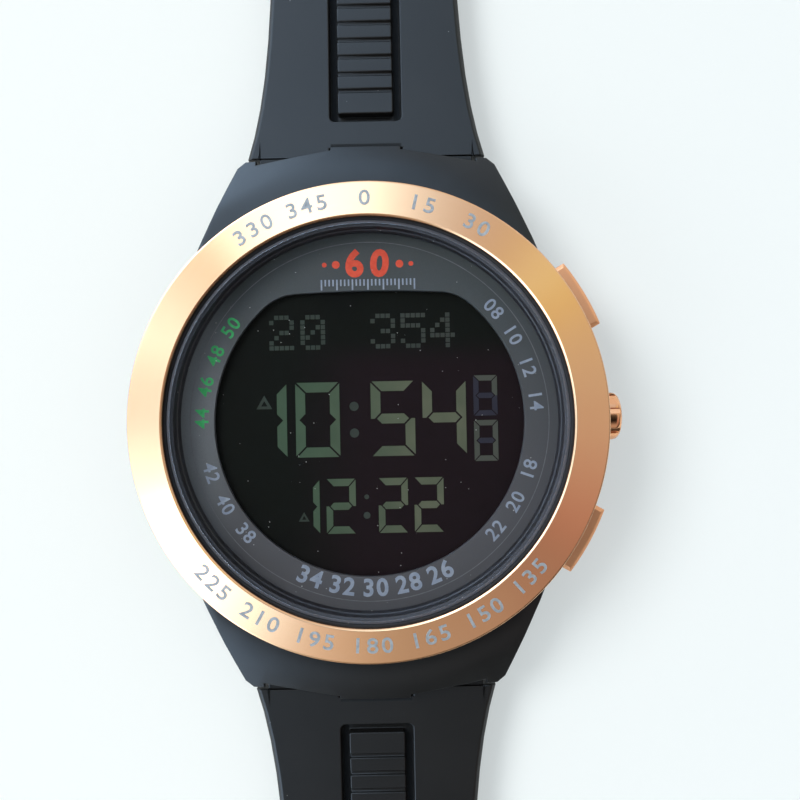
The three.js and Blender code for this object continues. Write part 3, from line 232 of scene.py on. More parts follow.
# Bezel: one turned ring of rose-gold plated steel, brushed round its sloping face, with a
# polished chamfer at the glass. It presses on the case's neck.
def turned(name, profile, steps=288, ring=True):
    """Turns a profile of (radius, height) in millimetres round the watch's axis, ring by ring."""
    bpy.ops.object.select_all(action="DESELECT")
    radius, level = profile[0]
    bpy.ops.mesh.primitive_circle_add(vertices=steps, radius=radius * mm, location=(0, 0, level * mm))
    piece = bpy.context.object
    piece.name = name
    bpy.ops.object.transform_apply(location=True, rotation=False, scale=False)
    bpy.ops.object.mode_set(mode="EDIT")
    bpy.ops.mesh.select_all(action="SELECT")
    if not ring:
        bpy.ops.mesh.edge_face_add()
    loop = [*profile[1:], profile[0]] if ring else profile[1:]
    for step, level_next in loop:
        bpy.ops.mesh.extrude_region_move(
            TRANSFORM_OT_translate={"value": (0, 0, (level_next - level) * mm)})
        grow = step / radius
        bpy.ops.transform.resize(value=(grow, grow, 1), center_override=(0, 0, level_next * mm))
        radius, level = step, level_next
    if not ring:
        bpy.ops.mesh.edge_face_add()
    bpy.ops.mesh.select_all(action="SELECT")
    bpy.ops.mesh.remove_doubles(threshold=0.002 * mm)
    bpy.ops.mesh.normals_make_consistent(inside=False)
    bpy.ops.object.mode_set(mode="OBJECT")
    return piece


def rounded(piece, width, segments, angle=30, smooth=30):
    """Rounds the edges sharper than the angle, and shades the rest smooth with its flats kept flat."""
    bpy.ops.object.select_all(action="DESELECT")
    piece.select_set(True)
    bpy.context.view_layer.objects.active = piece
    edge = piece.modifiers.new("edge", "BEVEL")
    edge.width = width * mm
    edge.segments = segments
    edge.limit_method = "ANGLE"
    edge.angle_limit = math.radians(angle)
    edge.use_clamp_overlap = False
    bpy.ops.object.modifier_apply(modifier=edge.name)
    bpy.ops.object.shade_smooth_by_angle(angle=math.radians(smooth))
    even = piece.modifiers.new("even", "WEIGHTED_NORMAL")
    even.keep_sharp = True
    bpy.ops.object.modifier_apply(modifier=even.name)
    return piece


def radius_of(start):
    """Distance from the watch's axis."""
    across, along = axis(start, "X"), axis(start, "Y")
    return (across * across + along * along) ** 0.5


def turned_lines(start, spacing, streaks, rough=0.5):
    """Fine lines round the axis, spacing millimetres apart, that break off more with more streaks."""
    turn = start.make("Math", {"operation": "ARCTAN2"}, {0: axis(start, "Y"), 1: axis(start, "X")})
    track = start.make("CombineXYZ", {}, {
        "X": radius_of(start) * (1 / (spacing * mm)), "Y": turn * streaks})
    return start.make("TexNoise", {}, {
        "Vector": track, "Scale": 1.0, "Detail": 3.0, "Roughness": rough}, out="Fac")


slope_outer, slope_foot, slope_inner, slope_top = 25.15, 12.95, 21.62, 14.05
bezel = turned("bezel_ring", [
    (22.70, 10.35), (25.27, 10.35), (25.45, 10.53), (25.45, 12.62), (25.38, 12.84),
    (slope_outer, slope_foot), (slope_inner, slope_top), (21.42, 13.85), (21.42, 13.40), (22.70, 13.40)],
    steps=360)
rounded(bezel, 0.05, 2, 24, 22)
rose_gold, start = material("brushed_rose_gold")
brushing = turned_lines(start, 0.05, 9.0, 0.6)
cloud = grain(start, 6, 2)
polished = 1 - radius_of(start).rise((slope_inner - 0.02) * mm, (slope_inner + 0.02) * mm)
plate = cloud.blend((0.84, 0.455, 0.235), (0.88, 0.50, 0.265))
plate = (brushing.rise(0.35, 0.75) * 0.12).blend(plate, (0.92, 0.60, 0.38))
surface(start, bump=brushing * (1 - polished), depth=0.0014, Base_Color=plate, Metallic=1.0,
        Roughness=0.17 + brushing * 0.08 - polished * 0.02)
bezel.data.materials.append(rose_gold)
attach(bezel, "case")
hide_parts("bezel")

# Bezel bearings: plain degree numbers, cut shallow into the brushed slope and filled a hair proud
# with a grey-blue lacquer. Their heads point outwards at the top and inwards at the bottom.
def remove(pieces):
    bpy.ops.object.select_all(action="DESELECT")
    for piece in pieces:
        piece.select_set(True)
    bpy.ops.object.delete()


def joined(pieces, name):
    """Joins the pieces into the first of them and names it."""
    bpy.ops.object.select_all(action="DESELECT")
    for piece in pieces:
        piece.select_set(True)
    bpy.context.view_layer.objects.active = pieces[0]
    bpy.ops.object.join()
    pieces[0].name = name
    return pieces[0]


def numerals(name, entries, radius, level, size, advance, weight, slope=0.0, inward=False, thick=0.04):
    """Sets numbers round an arc, digit by digit, at compass bearings, and joins them in one piece."""
    glyphs = {}
    made = []
    for word, bearing in entries:
        for k, digit in enumerate(word):
            if digit not in glyphs:
                bpy.ops.object.select_all(action="DESELECT")
                bpy.ops.object.text_add(location=(0, 0, 0))
                text = bpy.context.object
                text.data.body = digit
                text.data.size = size * mm
                text.data.align_x = "CENTER"
                text.data.align_y = "CENTER"
                text.data.offset = weight * mm
                text.data.extrude = thick / 2 * mm
                text.data.resolution_u = 4
                bpy.ops.object.convert(target="MESH")
                glyphs[digit] = bpy.context.object
            along = (k - (len(word) - 1) / 2) * advance / radius
            angle = -math.radians(bearing) + (along if inward else -along)
            copy = bpy.data.objects.new(name, glyphs[digit].data.copy())
            bpy.context.scene.collection.objects.link(copy)
            stand = Matrix.Rotation(math.pi if inward else 0, 4, "Z")
            lean = Matrix.Rotation(-math.radians(slope), 4, "X")
            out = Matrix.Translation((0, radius * mm, level * mm))
            copy.data.transform(Matrix.Rotation(angle, 4, "Z") @ out @ lean @ stand)
            made.append(copy)
    remove(glyphs.values())
    return joined(made, name)


def printed(name, colour, pale, rough=0.5):
    """A flat printed or lacquered colour, a little uneven as such thin ink is."""
    look, start = material(name)
    patch = grain(start, 0.5, 3)
    fine = grain(start, 0.06, 2)
    surface(start, bump=fine, depth=0.004, Base_Color=patch.rise(0.3, 0.75).blend(colour, pale),
            Roughness=rough + fine * 0.15)
    return look


bezel_slope = math.degrees(math.atan2(slope_top - slope_foot, slope_outer - slope_inner))
bezel_ink = printed("bezel_lacquer", (0.27, 0.31, 0.35), (0.40, 0.45, 0.50), 0.4)
bearing_track, bearing_level, bearing_size = 23.35, 13.520, 2.55
bearings_top = numerals(
    "bezel_bearings_top", [("330", 330), ("345", 345), ("0", 0), ("15", 15), ("30", 30)],
    bearing_track, bearing_level, bearing_size, 1.62, 0.03, bezel_slope)
bearings_low = numerals(
    "bezel_bearings_low",
    [("225", 225), ("210", 210), ("195", 195), ("180", 180), ("165", 165), ("150", 150), ("135", 135)],
    bearing_track, bearing_level, bearing_size, 1.55, 0.03, bezel_slope, inward=True)
for bearings in (bearings_top, bearings_low):
    bearings.data.materials.append(bezel_ink)
    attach(bearings, "case")

# Crystal: a flat disc of mineral glass with a ground bevel, seated in its gasket. It is clear and
# coated against glare, and its gloss grows towards a glancing view.
def flecks(start, spacing, small, large, channel, share):
    """Round flecks of dust, one in each cell spacing millimetres wide whose chance is above share."""
    cells = {"Vector": place_of(start), "Scale": 1 / (spacing * mm)}
    off = start.make("TexVoronoi", {}, cells, out="Distance")
    chance = start.make("TexVoronoi", {}, cells, out="Color")
    pick = start.make("SeparateColor", {}, {"Color": chance}, out=channel)
    return (1 - off.rise(small, large)) * pick.rise(share, share + 0.01)


crystal = turned("crystal_glass", [(20.70, 13.75), (21.05, 13.40), (21.05, 12.30)], ring=False)
rounded(crystal, 0.03, 1, smooth=15)
glass, start = material("mineral_glass")
straight_on = 0.04
slant = start.make("LayerWeight", {}, {"Blend": 0.5}, out="Facing")
mirror = slant ** 5.0 * (1 - straight_on) + straight_on
ground = radius_of(start).rise(20.66 * mm, 20.74 * mm)
dust = flecks(start, 0.8, 0.035, 0.075, "Red", 0.82)
clear = ground.blend((0.94, 0.97, 1.0), (0.15, 0.17, 0.215))
surface(start, Base_Color=dust.blend(clear, (0.8, 0.82, 0.8)), Metallic=(1 - dust) * (1 - ground),
        Roughness=0.03 + ground * 0.40 + dust * 0.5, Alpha=mirror * 0.4 + ground * 0.45 + dust * 0.6)
crystal.data.materials.append(glass)
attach(crystal, "case")
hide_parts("crystal")

# Crystal gasket: a black moulded ring, L-shaped in section, that grips the glass's edge. Its
# foot shows as a thin dark line through the glass.
def rubber(name, colour, pale, fine=0.12, depth=0.012, rough=0.62, dust=0.0, hollow_shade=None):
    """Moulded rubber: a fine even skin, faintly mottled, with a little dust, and painted shade in its
    hollows.
    """
    look, start = material(name)
    skin = grain(start, fine, 3, 0.6)
    mottle = grain(start, 7, 3)
    base = mottle.rise(0.3, 0.7).blend(colour, pale)
    if dust:
        base = (flecks(start, 1.7, 0.015, 0.045, "Red", 0.72) * dust).blend(base, (0.42, 0.44, 0.44))
    painted_groove_shade = 0.0
    if hollow_shade:
        painted_groove_shade = hollow_shade(start)
        # Painted shade: near black in the hollows that the mask gives.
        base = painted_groove_shade.blend(base, (0.0012, 0.0012, 0.0012))
    surface(start, bump=skin, depth=depth, Base_Color=base, Roughness=rough + skin * 0.14 + painted_groove_shade * 0.4,
            Specular_IOR_Level=0.38, Specular_Tint=(0.98, 1.0, 1.0, 1))
    return look


gasket = turned("crystal_gasket_ring", [
    (20.80, 11.90), (21.50, 11.90), (21.50, 13.30), (21.15, 13.30), (21.15, 12.20), (20.80, 12.20)])
rounded(gasket, 0.05, 2)
seal_rubber = rubber("seal_rubber", (0.012, 0.0126, 0.015), (0.018, 0.0186, 0.0215))
gasket.data.materials.append(seal_rubber)
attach(gasket, "case")
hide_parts("crystal_gasket")

# Flange ring: a satin black moulded ring that slopes from the glass down to the dial, with fine
# turned lines round its slope.
flange = turned("flange_ring_turned", [
    (20.35, 10.40), (21.40, 10.40), (21.40, 11.80), (20.85, 11.80), (20.62, 11.20), (20.50, 11.14)])
rounded(flange, 0.05, 2, 20, 18)
black_satin, start = material("black_satin_plastic")
track = start.make("CombineXYZ", {}, {"X": radius_of(start) * (1 / (0.06 * mm))})
lines = start.make("TexNoise", {}, {"Vector": track, "Scale": 1.0, "Detail": 1.0}, out="Fac")
fine = grain(start, 0.1, 2)
ringed = (lines.rise(0.5, 0.7) * 0.6 + fine * 0.4).blend((0.012, 0.012, 0.015), (0.030, 0.030, 0.037))
surface(start, Base_Color=ringed, Roughness=0.36 + lines * 0.15)
flange.data.materials.append(black_satin)
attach(flange, "case")
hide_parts("dial_flange_ring")

# Dial plate: a thin grey plate, sprayed matt, with a round window whose top is cut nearly flat and
# whose two corners are round. A pale circle and plain minute numbers are printed round it.
def swept(name, begin, arcs, level):
    """Draws a closed outline of arcs (turn in radians, steps, centre x, centre y) from a point."""
    bpy.ops.object.select_all(action="DESELECT")
    bpy.ops.mesh.primitive_plane_add(size=1 * mm, location=(begin[0] * mm, begin[1] * mm, level * mm))
    piece = bpy.context.object
    piece.name = name
    bpy.ops.object.transform_apply(location=True, rotation=False, scale=False)
    bpy.ops.object.mode_set(mode="EDIT")
    bpy.ops.mesh.select_mode(type="VERT")
    bpy.ops.mesh.select_all(action="SELECT")
    bpy.ops.mesh.merge(type="CENTER")
    for angle, steps, x, y in arcs:
        bpy.ops.mesh.spin(steps=steps, angle=-angle, center=(x * mm, y * mm, level * mm), axis=(0, 0, 1))
    bpy.ops.mesh.select_all(action="SELECT")
    bpy.ops.mesh.remove_doubles(threshold=0.01 * mm)
    bpy.ops.object.mode_set(mode="OBJECT")
    return piece


window_radius, window_top, window_corner = 16.78, 13.9, 5.4
rise = window_top - window_corner
run = math.sqrt((window_radius - window_corner) ** 2 - rise ** 2)
lean = math.atan2(rise, run)
crown = 130.0
half_top = math.asin(run / crown)
dial_radius, dial_level, dial_thick = 21.4, 10.3, 0.6
dial = swept("dial_face", (-window_radius * math.cos(lean), window_radius * math.sin(lean)), [
    (math.pi + 2 * lean, 150, 0, 0),
    (math.pi / 2 - lean, 18, run, rise),
    (2 * half_top, 14, 0, window_top - crown * math.cos(half_top)),
    (math.pi / 2 - lean, 18, -run, rise)], dial_level)
bpy.ops.object.select_all(action="DESELECT")
bpy.ops.mesh.primitive_circle_add(vertices=240, radius=dial_radius * mm, location=(0, 0, dial_level * mm))
dial.select_set(True)
bpy.context.view_layer.objects.active = dial
bpy.ops.object.join()
bpy.ops.object.mode_set(mode="EDIT")
bpy.ops.mesh.select_all(action="SELECT")
bpy.ops.mesh.bridge_edge_loops()
bpy.ops.mesh.normals_make_consistent(inside=False)
bpy.ops.object.mode_set(mode="OBJECT")
if dial.data.polygons[0].normal.z < 0:
    dial.data.flip_normals()
wall = dial.modifiers.new("wall", "SOLIDIFY")
wall.thickness = dial_thick * mm
wall.offset = -1
bpy.ops.object.modifier_apply(modifier=wall.name)
rounded(dial, 0.08, 3, 40, 30)
grey_dial, start = material("grey_sprayed_dial")
speckle = grain(start, 0.09, 2, 0.7)
wash = grain(start, 9, 2)
# Painted shade and light: the grey is darker and greener towards the top, and much paler on the left.
painted_shade_top = axis(start, "Y").rise(-12 * mm, 19 * mm)
paint_and_painted_light = painted_shade_top.blend((0.058, 0.058, 0.065), (0.031, 0.040, 0.041))
painted_light_left = axis(start, "X").rise(-19.5 * mm, -13.5 * mm)
paint_and_painted_light = painted_light_left.blend((0.135, 0.152, 0.166), paint_and_painted_light)
paint_and_painted_light = (speckle.rise(0.45, 0.8) * 0.5).blend(paint_and_painted_light, (0.068, 0.071, 0.078))
paint_and_painted_light = (wash.rise(0.4, 0.8) * 0.2).blend(paint_and_painted_light, (0.046, 0.048, 0.053))
paint_and_painted_light = flecks(start, 1.1, 0.04, 0.08, "Green", 0.86).blend(paint_and_painted_light, (0.40, 0.42, 0.42))
surface(start, bump=speckle, depth=0.012, Base_Color=paint_and_painted_light, Roughness=0.5 + speckle * 0.2)
dial.data.materials.append(grey_dial)
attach(dial, "case")
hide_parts("dial_plate")

circle = turned("dial_circle", [(19.36, 10.28), (19.44, 10.28), (19.44, 10.312), (19.36, 10.312)])
grey_ink = printed("grey_blue_ink", (0.21, 0.26, 0.35), (0.28, 0.33, 0.41))
pale_ink = printed("pale_ink", (0.10, 0.105, 0.115), (0.14, 0.145, 0.155))
print_level, ink_thick = 10.305, 0.02
minute_track, minute_size, minute_step = 18.05, 2.05, 1.17
minutes_right = numerals(
    "dial_minutes_right", [("08", 49), ("10", 60), ("12", 72), ("14", 84)],
    minute_track, print_level, minute_size, minute_step, 0.03, thick=ink_thick)
minutes_left = numerals(
    "dial_minutes_left", [("44", 272), ("46", 283), ("48", 294), ("50", 305)],
    minute_track, print_level, minute_size, minute_step, 0.03, thick=ink_thick)
minutes_low = numerals(
    "dial_minutes_low", [("42", 253), ("40", 241), ("38", 229), ("22", 132), ("20", 120), ("18", 108)],
    minute_track, print_level, minute_size, minute_step, 0.03, inward=True, thick=ink_thick)
minutes_bottom = numerals(
    "dial_minutes_bottom", [("34", 202), ("32", 190.5), ("30", 179), ("28", 167.5), ("26", 156)],
    minute_track, print_level, 2.6, 1.5, 0.07, inward=True, thick=ink_thick)
green_ink = printed("green_ink", (0.010, 0.32, 0.075), (0.025, 0.40, 0.115))
for print_on, ink in ((circle, pale_ink), (minutes_right, grey_ink), (minutes_left, green_ink),
                      (minutes_low, grey_ink), (minutes_bottom, grey_ink)):
    print_on.data.materials.append(ink)
    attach(print_on, "case")

# Sixty mark: a plain red 60 at the top of the dial, with two red dots on either side, over a short
# grey scale of minute ticks, all printed.
def disc(x, y, level, radius, depth, sides):
    """A flat disc, or a flat piece of few sides, with its place applied."""
    bpy.ops.object.select_all(action="DESELECT")
    bpy.ops.mesh.primitive_cylinder_add(
        vertices=sides, radius=radius * mm, depth=depth * mm, location=(x * mm, y * mm, level * mm))
    bpy.ops.object.transform_apply(location=True, rotation=False, scale=False)
    return bpy.context.object


sixty_x, sixty_y, sixty_size, sixty_step = 0.1, 17.0, 3.9, 2.75
sixty = numerals(
    "dial_sixty", [("60", 0)], sixty_y, print_level, sixty_size, sixty_step, 0.16, thick=ink_thick)
red_dots = [disc(sixty_x + side_x, sixty_y, print_level, radius, ink_thick, 24)
            for side_x, radius in ((-4.7, 0.26), (-3.45, 0.42), (3.45, 0.42), (4.7, 0.26))]
joined([sixty, *red_dots], "dial_sixty")
red_ink = printed("red_ink", (0.60, 0.048, 0.016), (0.68, 0.080, 0.032))
sixty.data.materials.append(red_ink)
tick_pitch, tick_wide, tick_top, long_tick, short_tick = 0.42, 0.17, 15.38, 1.15, 0.7
bpy.ops.object.select_all(action="DESELECT")
bpy.ops.mesh.primitive_cube_add(size=1 * mm, location=(0, 0, print_level * mm))
tick = bpy.context.object
tick.scale = (tick_wide, 1, ink_thick)
bpy.ops.object.transform_apply(location=True, rotation=False, scale=True)
ticks = []
for k in range(-12, 13):
    copy = bpy.data.objects.new("dial_ticks", tick.data.copy())
    bpy.context.scene.collection.objects.link(copy)
    long = long_tick if k % 4 == 0 else short_tick
    copy.data.transform(
        Matrix.Translation(((sixty_x + tick_pitch * k) * mm, (tick_top - long / 2) * mm, 0))
        @ Matrix.Diagonal((1, long, 1, 1)))
    ticks.append(copy)
remove([tick])
ticks = joined(ticks, "dial_ticks")
ticks.data.materials.append(grey_ink)
for print_on in (sixty, ticks):
    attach(print_on, "case")

# Display: a negative liquid crystal, greenish black, with a plum-black painted reflection over the right
# of its film below the top, and pale green bars and dots that let the reflector through.
display_dark, start = material("display_dark")
drift = grain(start, 8, 2)
# Painted reflection: plum black over the right of the film, fading out near its top.
painted_reflection_right = (axis(start, "X") + drift * (4 * mm)).rise(-8 * mm, 2 * mm)
painted_reflection_right = painted_reflection_right * (1 - axis(start, "Y").rise(5.5 * mm, 9.5 * mm))
film_and_painted_reflection = painted_reflection_right.blend((0.0042, 0.0052, 0.0040), (0.0105, 0.0062, 0.0078))
film_and_painted_reflection = (drift.rise(0.55, 0.85) * 0.6).blend(film_and_painted_reflection, (0.0020, 0.0020, 0.0022))
film_and_painted_reflection = flecks(start, 1.0, 0.03, 0.07, "Blue", 0.86).blend(film_and_painted_reflection, (0.5, 0.52, 0.5))
surface(start, Base_Color=film_and_painted_reflection, Roughness=0.55 + drift * 0.1, Specular_IOR_Level=0.05)
nodes["display_panel"].data.materials.clear()
nodes["display_panel"].data.materials.append(display_dark)

bar_wide, bar_thick, bar_gap = 0.6, 0.132, 0.017
half_wide = bar_wide / 2
upright = (half_wide - bar_thick, half_wide, 0, 0.5)
upright_cuts = [((1, -1), -0.2 + bar_gap), ((1, 1), half_wide - bar_thick / 2 + bar_gap)]
flat = (-half_wide, half_wide, 0.5 - bar_thick, 0.5)
flat_cuts = [((1, 1), 0.2 + bar_gap), ((-1, 1), 0.2 + bar_gap)]
middle = (-half_wide, half_wide, -bar_thick / 2, bar_thick / 2)
reach_middle = -(half_wide - bar_thick / 2 - bar_gap)
middle_cuts = [((x, y), reach_middle) for x in (-1, 1) for y in (-1, 1)]
display_level, lit_thick = 9.502, 0.01


def display_bar(box, cuts, flip_x=1, flip_y=1):
    """One bar of a digit one unit high: a plane whose ends are cut at 45 degrees, made lit_thick deep."""
    low_x, high_x, low_y, high_y = box
    bpy.ops.object.select_all(action="DESELECT")
    bpy.ops.mesh.primitive_plane_add(size=1, location=((low_x + high_x) / 2, (low_y + high_y) / 2, 0))
    bar = bpy.context.object
    bar.scale = (high_x - low_x, high_y - low_y, 1)
    bpy.ops.object.transform_apply(location=True, rotation=False, scale=True)
    bpy.ops.object.mode_set(mode="EDIT")
    for (x, y), limit in cuts:
        bpy.ops.mesh.select_all(action="SELECT")
        share = limit / (x * x + y * y)
        bpy.ops.mesh.bisect(plane_co=(x * share, y * share, 0), plane_no=(x, y, 0), clear_inner=True)
    bpy.ops.mesh.select_all(action="SELECT")
    bpy.ops.mesh.extrude_region_move(TRANSFORM_OT_translate={"value": (0, 0, lit_thick)})
    bpy.ops.mesh.select_all(action="SELECT")
    bpy.ops.transform.resize(value=(flip_x, flip_y, 1), center_override=(0, 0, 0))
    bpy.ops.mesh.normals_make_consistent(inside=False)
    bpy.ops.object.mode_set(mode="OBJECT")
    return bar


bars = {
    "a": display_bar(flat, flat_cuts),
    "b": display_bar(upright, upright_cuts),
    "c": display_bar(upright, upright_cuts, 1, -1),
    "d": display_bar(flat, flat_cuts, 1, -1),
    "e": display_bar(upright, upright_cuts, -1, -1),
    "f": display_bar(upright, upright_cuts, -1, 1),
    "g": display_bar(middle, middle_cuts),
}
digit_bars = {"0": "abcdef", "1": "bc", "2": "abdeg", "4": "bcfg", "5": "acdfg"}


def set_bars(name, digits):
    """Copies bars to their digits (bars, centre x, centre y, width, height) and joins them."""
    made = []
    for lit, x, y, wide, high in digits:
        for bar in lit:
            copy = bpy.data.objects.new(name, bars[bar].data.copy())
            bpy.context.scene.collection.objects.link(copy)
            size = Matrix.Diagonal((wide / bar_wide * mm, high * mm, 1 * mm, 1))
            copy.data.transform(Matrix.Translation((x * mm, y * mm, display_level * mm)) @ size)
            made.append(copy)
    return joined(made, name)


time_y, time_high = 0.23, 8.15
time_bars = set_bars("display_time", [
    (digit_bars[digit], x, time_y, wide, time_high) for digit, x, wide in (
        ("1", -11.45, 4.8), ("0", -5.68, 4.8), ("5", 2.53, 4.8), ("4", 8.14, 4.75))])
seconds_x, seconds_wide = 12.65, 2.6
upper_y, upper_high, lower_y, lower_high = 2.55, 4.4, -2.36, 4.45
second_bars = set_bars("display_seconds", [
    ("ab", seconds_x, upper_y, seconds_wide, upper_high),
    (digit_bars["0"], seconds_x, lower_y, seconds_wide, lower_high)])
faint_bars = set_bars("display_faint_bars", [
    ("cdefg", seconds_x, upper_y, seconds_wide, upper_high),
    ("g", seconds_x, lower_y, seconds_wide, lower_high)])
small_y, small_wide, small_high = -9.22, 3.2, 5.95
small_bars = set_bars("display_second_time", [
    (digit_bars[digit], x, small_y, small_wide, small_high)
    for digit, x in (("1", -7.23), ("2", -3.29), ("2", 2.39), ("2", 6.29))])
remove(bars.values())

lit_level = display_level + lit_thick / 2
dots = [disc(x, y, lit_level, radius, lit_thick, 28) for x, y, radius in (
    (-1.70, 1.63, 0.50), (-1.70, -1.28, 0.50), (-0.50, -8.25, 0.26), (-0.50, -10.26, 0.37))]
rim_share = 0.3
for x, y, size in ((-11.49, 2.0, 1.0), (-7.35, -10.47, 0.68)):
    triangle = disc(x, y, lit_level, size, lit_thick, 3)
    bpy.ops.object.mode_set(mode="EDIT")
    bpy.ops.mesh.select_mode(type="FACE")
    bpy.ops.mesh.select_all(action="DESELECT")
    bpy.ops.object.mode_set(mode="OBJECT")
    for face in triangle.data.polygons:
        face.select = abs(face.normal.z) > 0.9
    bpy.ops.object.mode_set(mode="EDIT")
    bpy.ops.mesh.inset(thickness=rim_share * size * mm, depth=0)
    bpy.ops.mesh.bridge_edge_loops()
    bpy.ops.mesh.select_mode(type="VERT")
    bpy.ops.object.mode_set(mode="OBJECT")
    dots.append(triangle)
dots = joined(dots, "display_dots")

dot_pitch, dot_wide, dot_row_y = 0.556, 0.47, 9.80
middle_column, middle_row = 2, 3
dot_patterns = {
    "2": ("01110", "10001", "00001", "00110", "01000", "10000", "11111"),
    "0": ("01110", "10001", "10011", "10101", "11001", "10001", "01110"),
    "3": ("01110", "10001", "00001", "00110", "00001", "10001", "01110"),
    "5": ("11111", "10000", "11110", "00001", "00001", "10001", "01110"),
    "4": ("00010", "00110", "01010", "10010", "11111", "00010", "00010"),
}
bpy.ops.object.select_all(action="DESELECT")
bpy.ops.mesh.primitive_cube_add(size=1 * mm, location=(0, 0, 0))
dot = bpy.context.object
dot.scale = (dot_wide, dot_wide, lit_thick)
bpy.ops.object.transform_apply(location=False, rotation=False, scale=True)
matrix_dots = []
for digit, x in (("2", -9.47), ("0", -6.06), ("3", 1.60), ("5", 4.90), ("4", 8.12)):
    for row, line in enumerate(dot_patterns[digit]):
        for column, lit in enumerate(line):
            if lit == "1":
                copy = bpy.data.objects.new("display_dot_row", dot.data.copy())
                bpy.context.scene.collection.objects.link(copy)
                copy.data.transform(Matrix.Translation((
                    (x + (column - middle_column) * dot_pitch) * mm,
                    (dot_row_y + (middle_row - row) * dot_pitch) * mm,
                    lit_level * mm)))
                matrix_dots.append(copy)
remove([dot])
dot_row = joined(matrix_dots, "display_dot_row")


def glow(name, left_shade, right_shade):
    """The reflector seen through an open bar: paler towards the right."""
    look, start = material(name)
    across = axis(start, "X").rise(-9 * mm, 8 * mm)
    patch = grain(start, 3, 2)
    base = across.blend(left_shade, right_shade)
    base = (patch.rise(0.3, 0.8) * 0.35).blend(base, tuple(0.55 * c for c in left_shade))
    surface(start, Base_Color=base, Roughness=0.55 + patch * 0.1, Specular_IOR_Level=0.2)
    return look


bar_green = glow("display_bar_green", (0.048, 0.088, 0.053), (0.097, 0.110, 0.072))
bar_grey = glow("display_bar_grey", (0.054, 0.068, 0.054), (0.061, 0.068, 0.056))
dot_green = glow("display_dot_green", (0.028, 0.040, 0.031), (0.034, 0.040, 0.034))
faint_blue = glow("display_faint_blue", (0.017, 0.018, 0.028), (0.021, 0.021, 0.034))
for lit, look in ((time_bars, bar_green), (small_bars, bar_green), (second_bars, bar_grey),
                  (faint_bars, faint_blue), (dots, dot_green), (dot_row, dot_green)):
    lit.data.materials.clear()
    lit.data.materials.append(look)
    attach(lit, "case")

# Case: one moulded body of charcoal resin with its four lugs, satin and very finely grained. Its
# own solid's edges are rounded as a mould leaves them.
def moulded(node, name, width, segments, angle, smooth):
    """A copy of a solid's mesh, merged, with its flat faces made whole and its edges rounded."""
    piece = bpy.data.objects.new(name, nodes[node].data.copy())
    bpy.context.scene.collection.objects.link(piece)
    bpy.ops.object.select_all(action="DESELECT")
    piece.select_set(True)
    bpy.context.view_layer.objects.active = piece
    piece.data.materials.clear()
    bpy.ops.object.mode_set(mode="EDIT")
    bpy.ops.mesh.select_all(action="SELECT")
    bpy.ops.mesh.remove_doubles(threshold=0.001 * mm)
    bpy.ops.mesh.dissolve_limited(angle_limit=math.radians(0.6))
    bpy.ops.mesh.normals_make_consistent(inside=False)
    bpy.ops.object.mode_set(mode="OBJECT")
    return rounded(piece, width, segments, angle, smooth)


case_shell = moulded("case_body", "case_shell", 0.1, 2, 32, 34)
resin, start = material("charcoal_resin")
skin = grain(start, 0.07, 3, 0.6)
mottle = grain(start, 5, 3)
base = mottle.rise(0.3, 0.7).blend((0.0036, 0.0036, 0.0036), (0.0054, 0.0054, 0.0054))
surface(start, bump=skin, depth=0.005, Base_Color=base, Roughness=0.28 + skin * 0.10 + mottle * 0.05,
        Specular_IOR_Level=0.41, Specular_Tint=(0.98, 1.0, 1.0, 1))
case_shell.data.materials.append(resin)
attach(case_shell, "case")
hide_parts("case_body")

# Case back: a pressed and turned stainless plate held by four slotted screws, brushed in circles,
# with its seal ring in the groove above it.
case_back = moulded("case_back", "case_back_plate", 0.08, 2, 35, 30)
steel_turned, start = material("turned_steel")
brushing = turned_lines(start, 0.06, 6.0)
smudge = grain(start, 5, 3)
plate = brushing.blend((0.46, 0.465, 0.475), (0.62, 0.625, 0.635))
surface(start, bump=brushing, depth=0.003, Base_Color=plate, Metallic=1.0,
        Roughness=0.26 + brushing * 0.1 + smudge * 0.08)
case_back.data.materials.append(steel_turned)
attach(case_back, "case")
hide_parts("case_back")


def plain_steel(name, dark, pale, rough, size=0.08, stretch=(1, 1, 1)):
    """Machined steel with fine lines along one axis."""
    look, start = material(name)
    lines = grain(start, size, 3, 0.6, stretch)
    smudge = grain(start, 2.5, 3)
    surface(start, bump=lines, depth=0.003, Base_Color=lines.blend(dark, pale), Metallic=1.0,
            Roughness=rough + smudge * 0.12)
    return look


steel = plain_steel("machined_steel", (0.44, 0.445, 0.455), (0.60, 0.605, 0.615), 0.26)
for k in range(1, 5):
    screw = moulded(f"case_back_screw_{k}", f"back_screw_{k}", 0.04, 2, 40, 30)
    screw.data.materials.append(steel)
    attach(screw, "case")
    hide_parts(f"case_back_screw_{k}")

# Buttons: two curved pushers and a fluted crown button, each turned or milled in one with its stem
# and rose-gold plated like the bezel. The pushers are finely blasted, the crown button is polished.
def plated(name, rough):
    """Rose-gold plating over a fine blasted or polished skin."""
    look, start = material(name)
    blast = grain(start, 0.06, 3, 0.7)
    cloud = grain(start, 3, 2)
    plate = cloud.blend((0.84, 0.40, 0.195), (0.90, 0.45, 0.23))
    surface(start, bump=blast, depth=0.002, Base_Color=plate, Metallic=1.0, Roughness=rough + blast * 0.12)
    return look


blasted_gold = plated("blasted_rose_gold", 0.45)
polished_gold = plated("polished_rose_gold", 0.08)
for node, name, body, width, look in (
        ("upper_pusher", "upper_pusher_cap", "upper_button", 0.08, blasted_gold),
        ("lower_pusher", "lower_pusher_cap", "lower_button", 0.08, blasted_gold),
        ("crown_button", "crown_button_cap", "light_button", 0.07, polished_gold)):
    cap = moulded(node, name, width, 2, 40, 32)
    cap.data.materials.append(look)
    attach(cap, body)
    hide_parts(node)

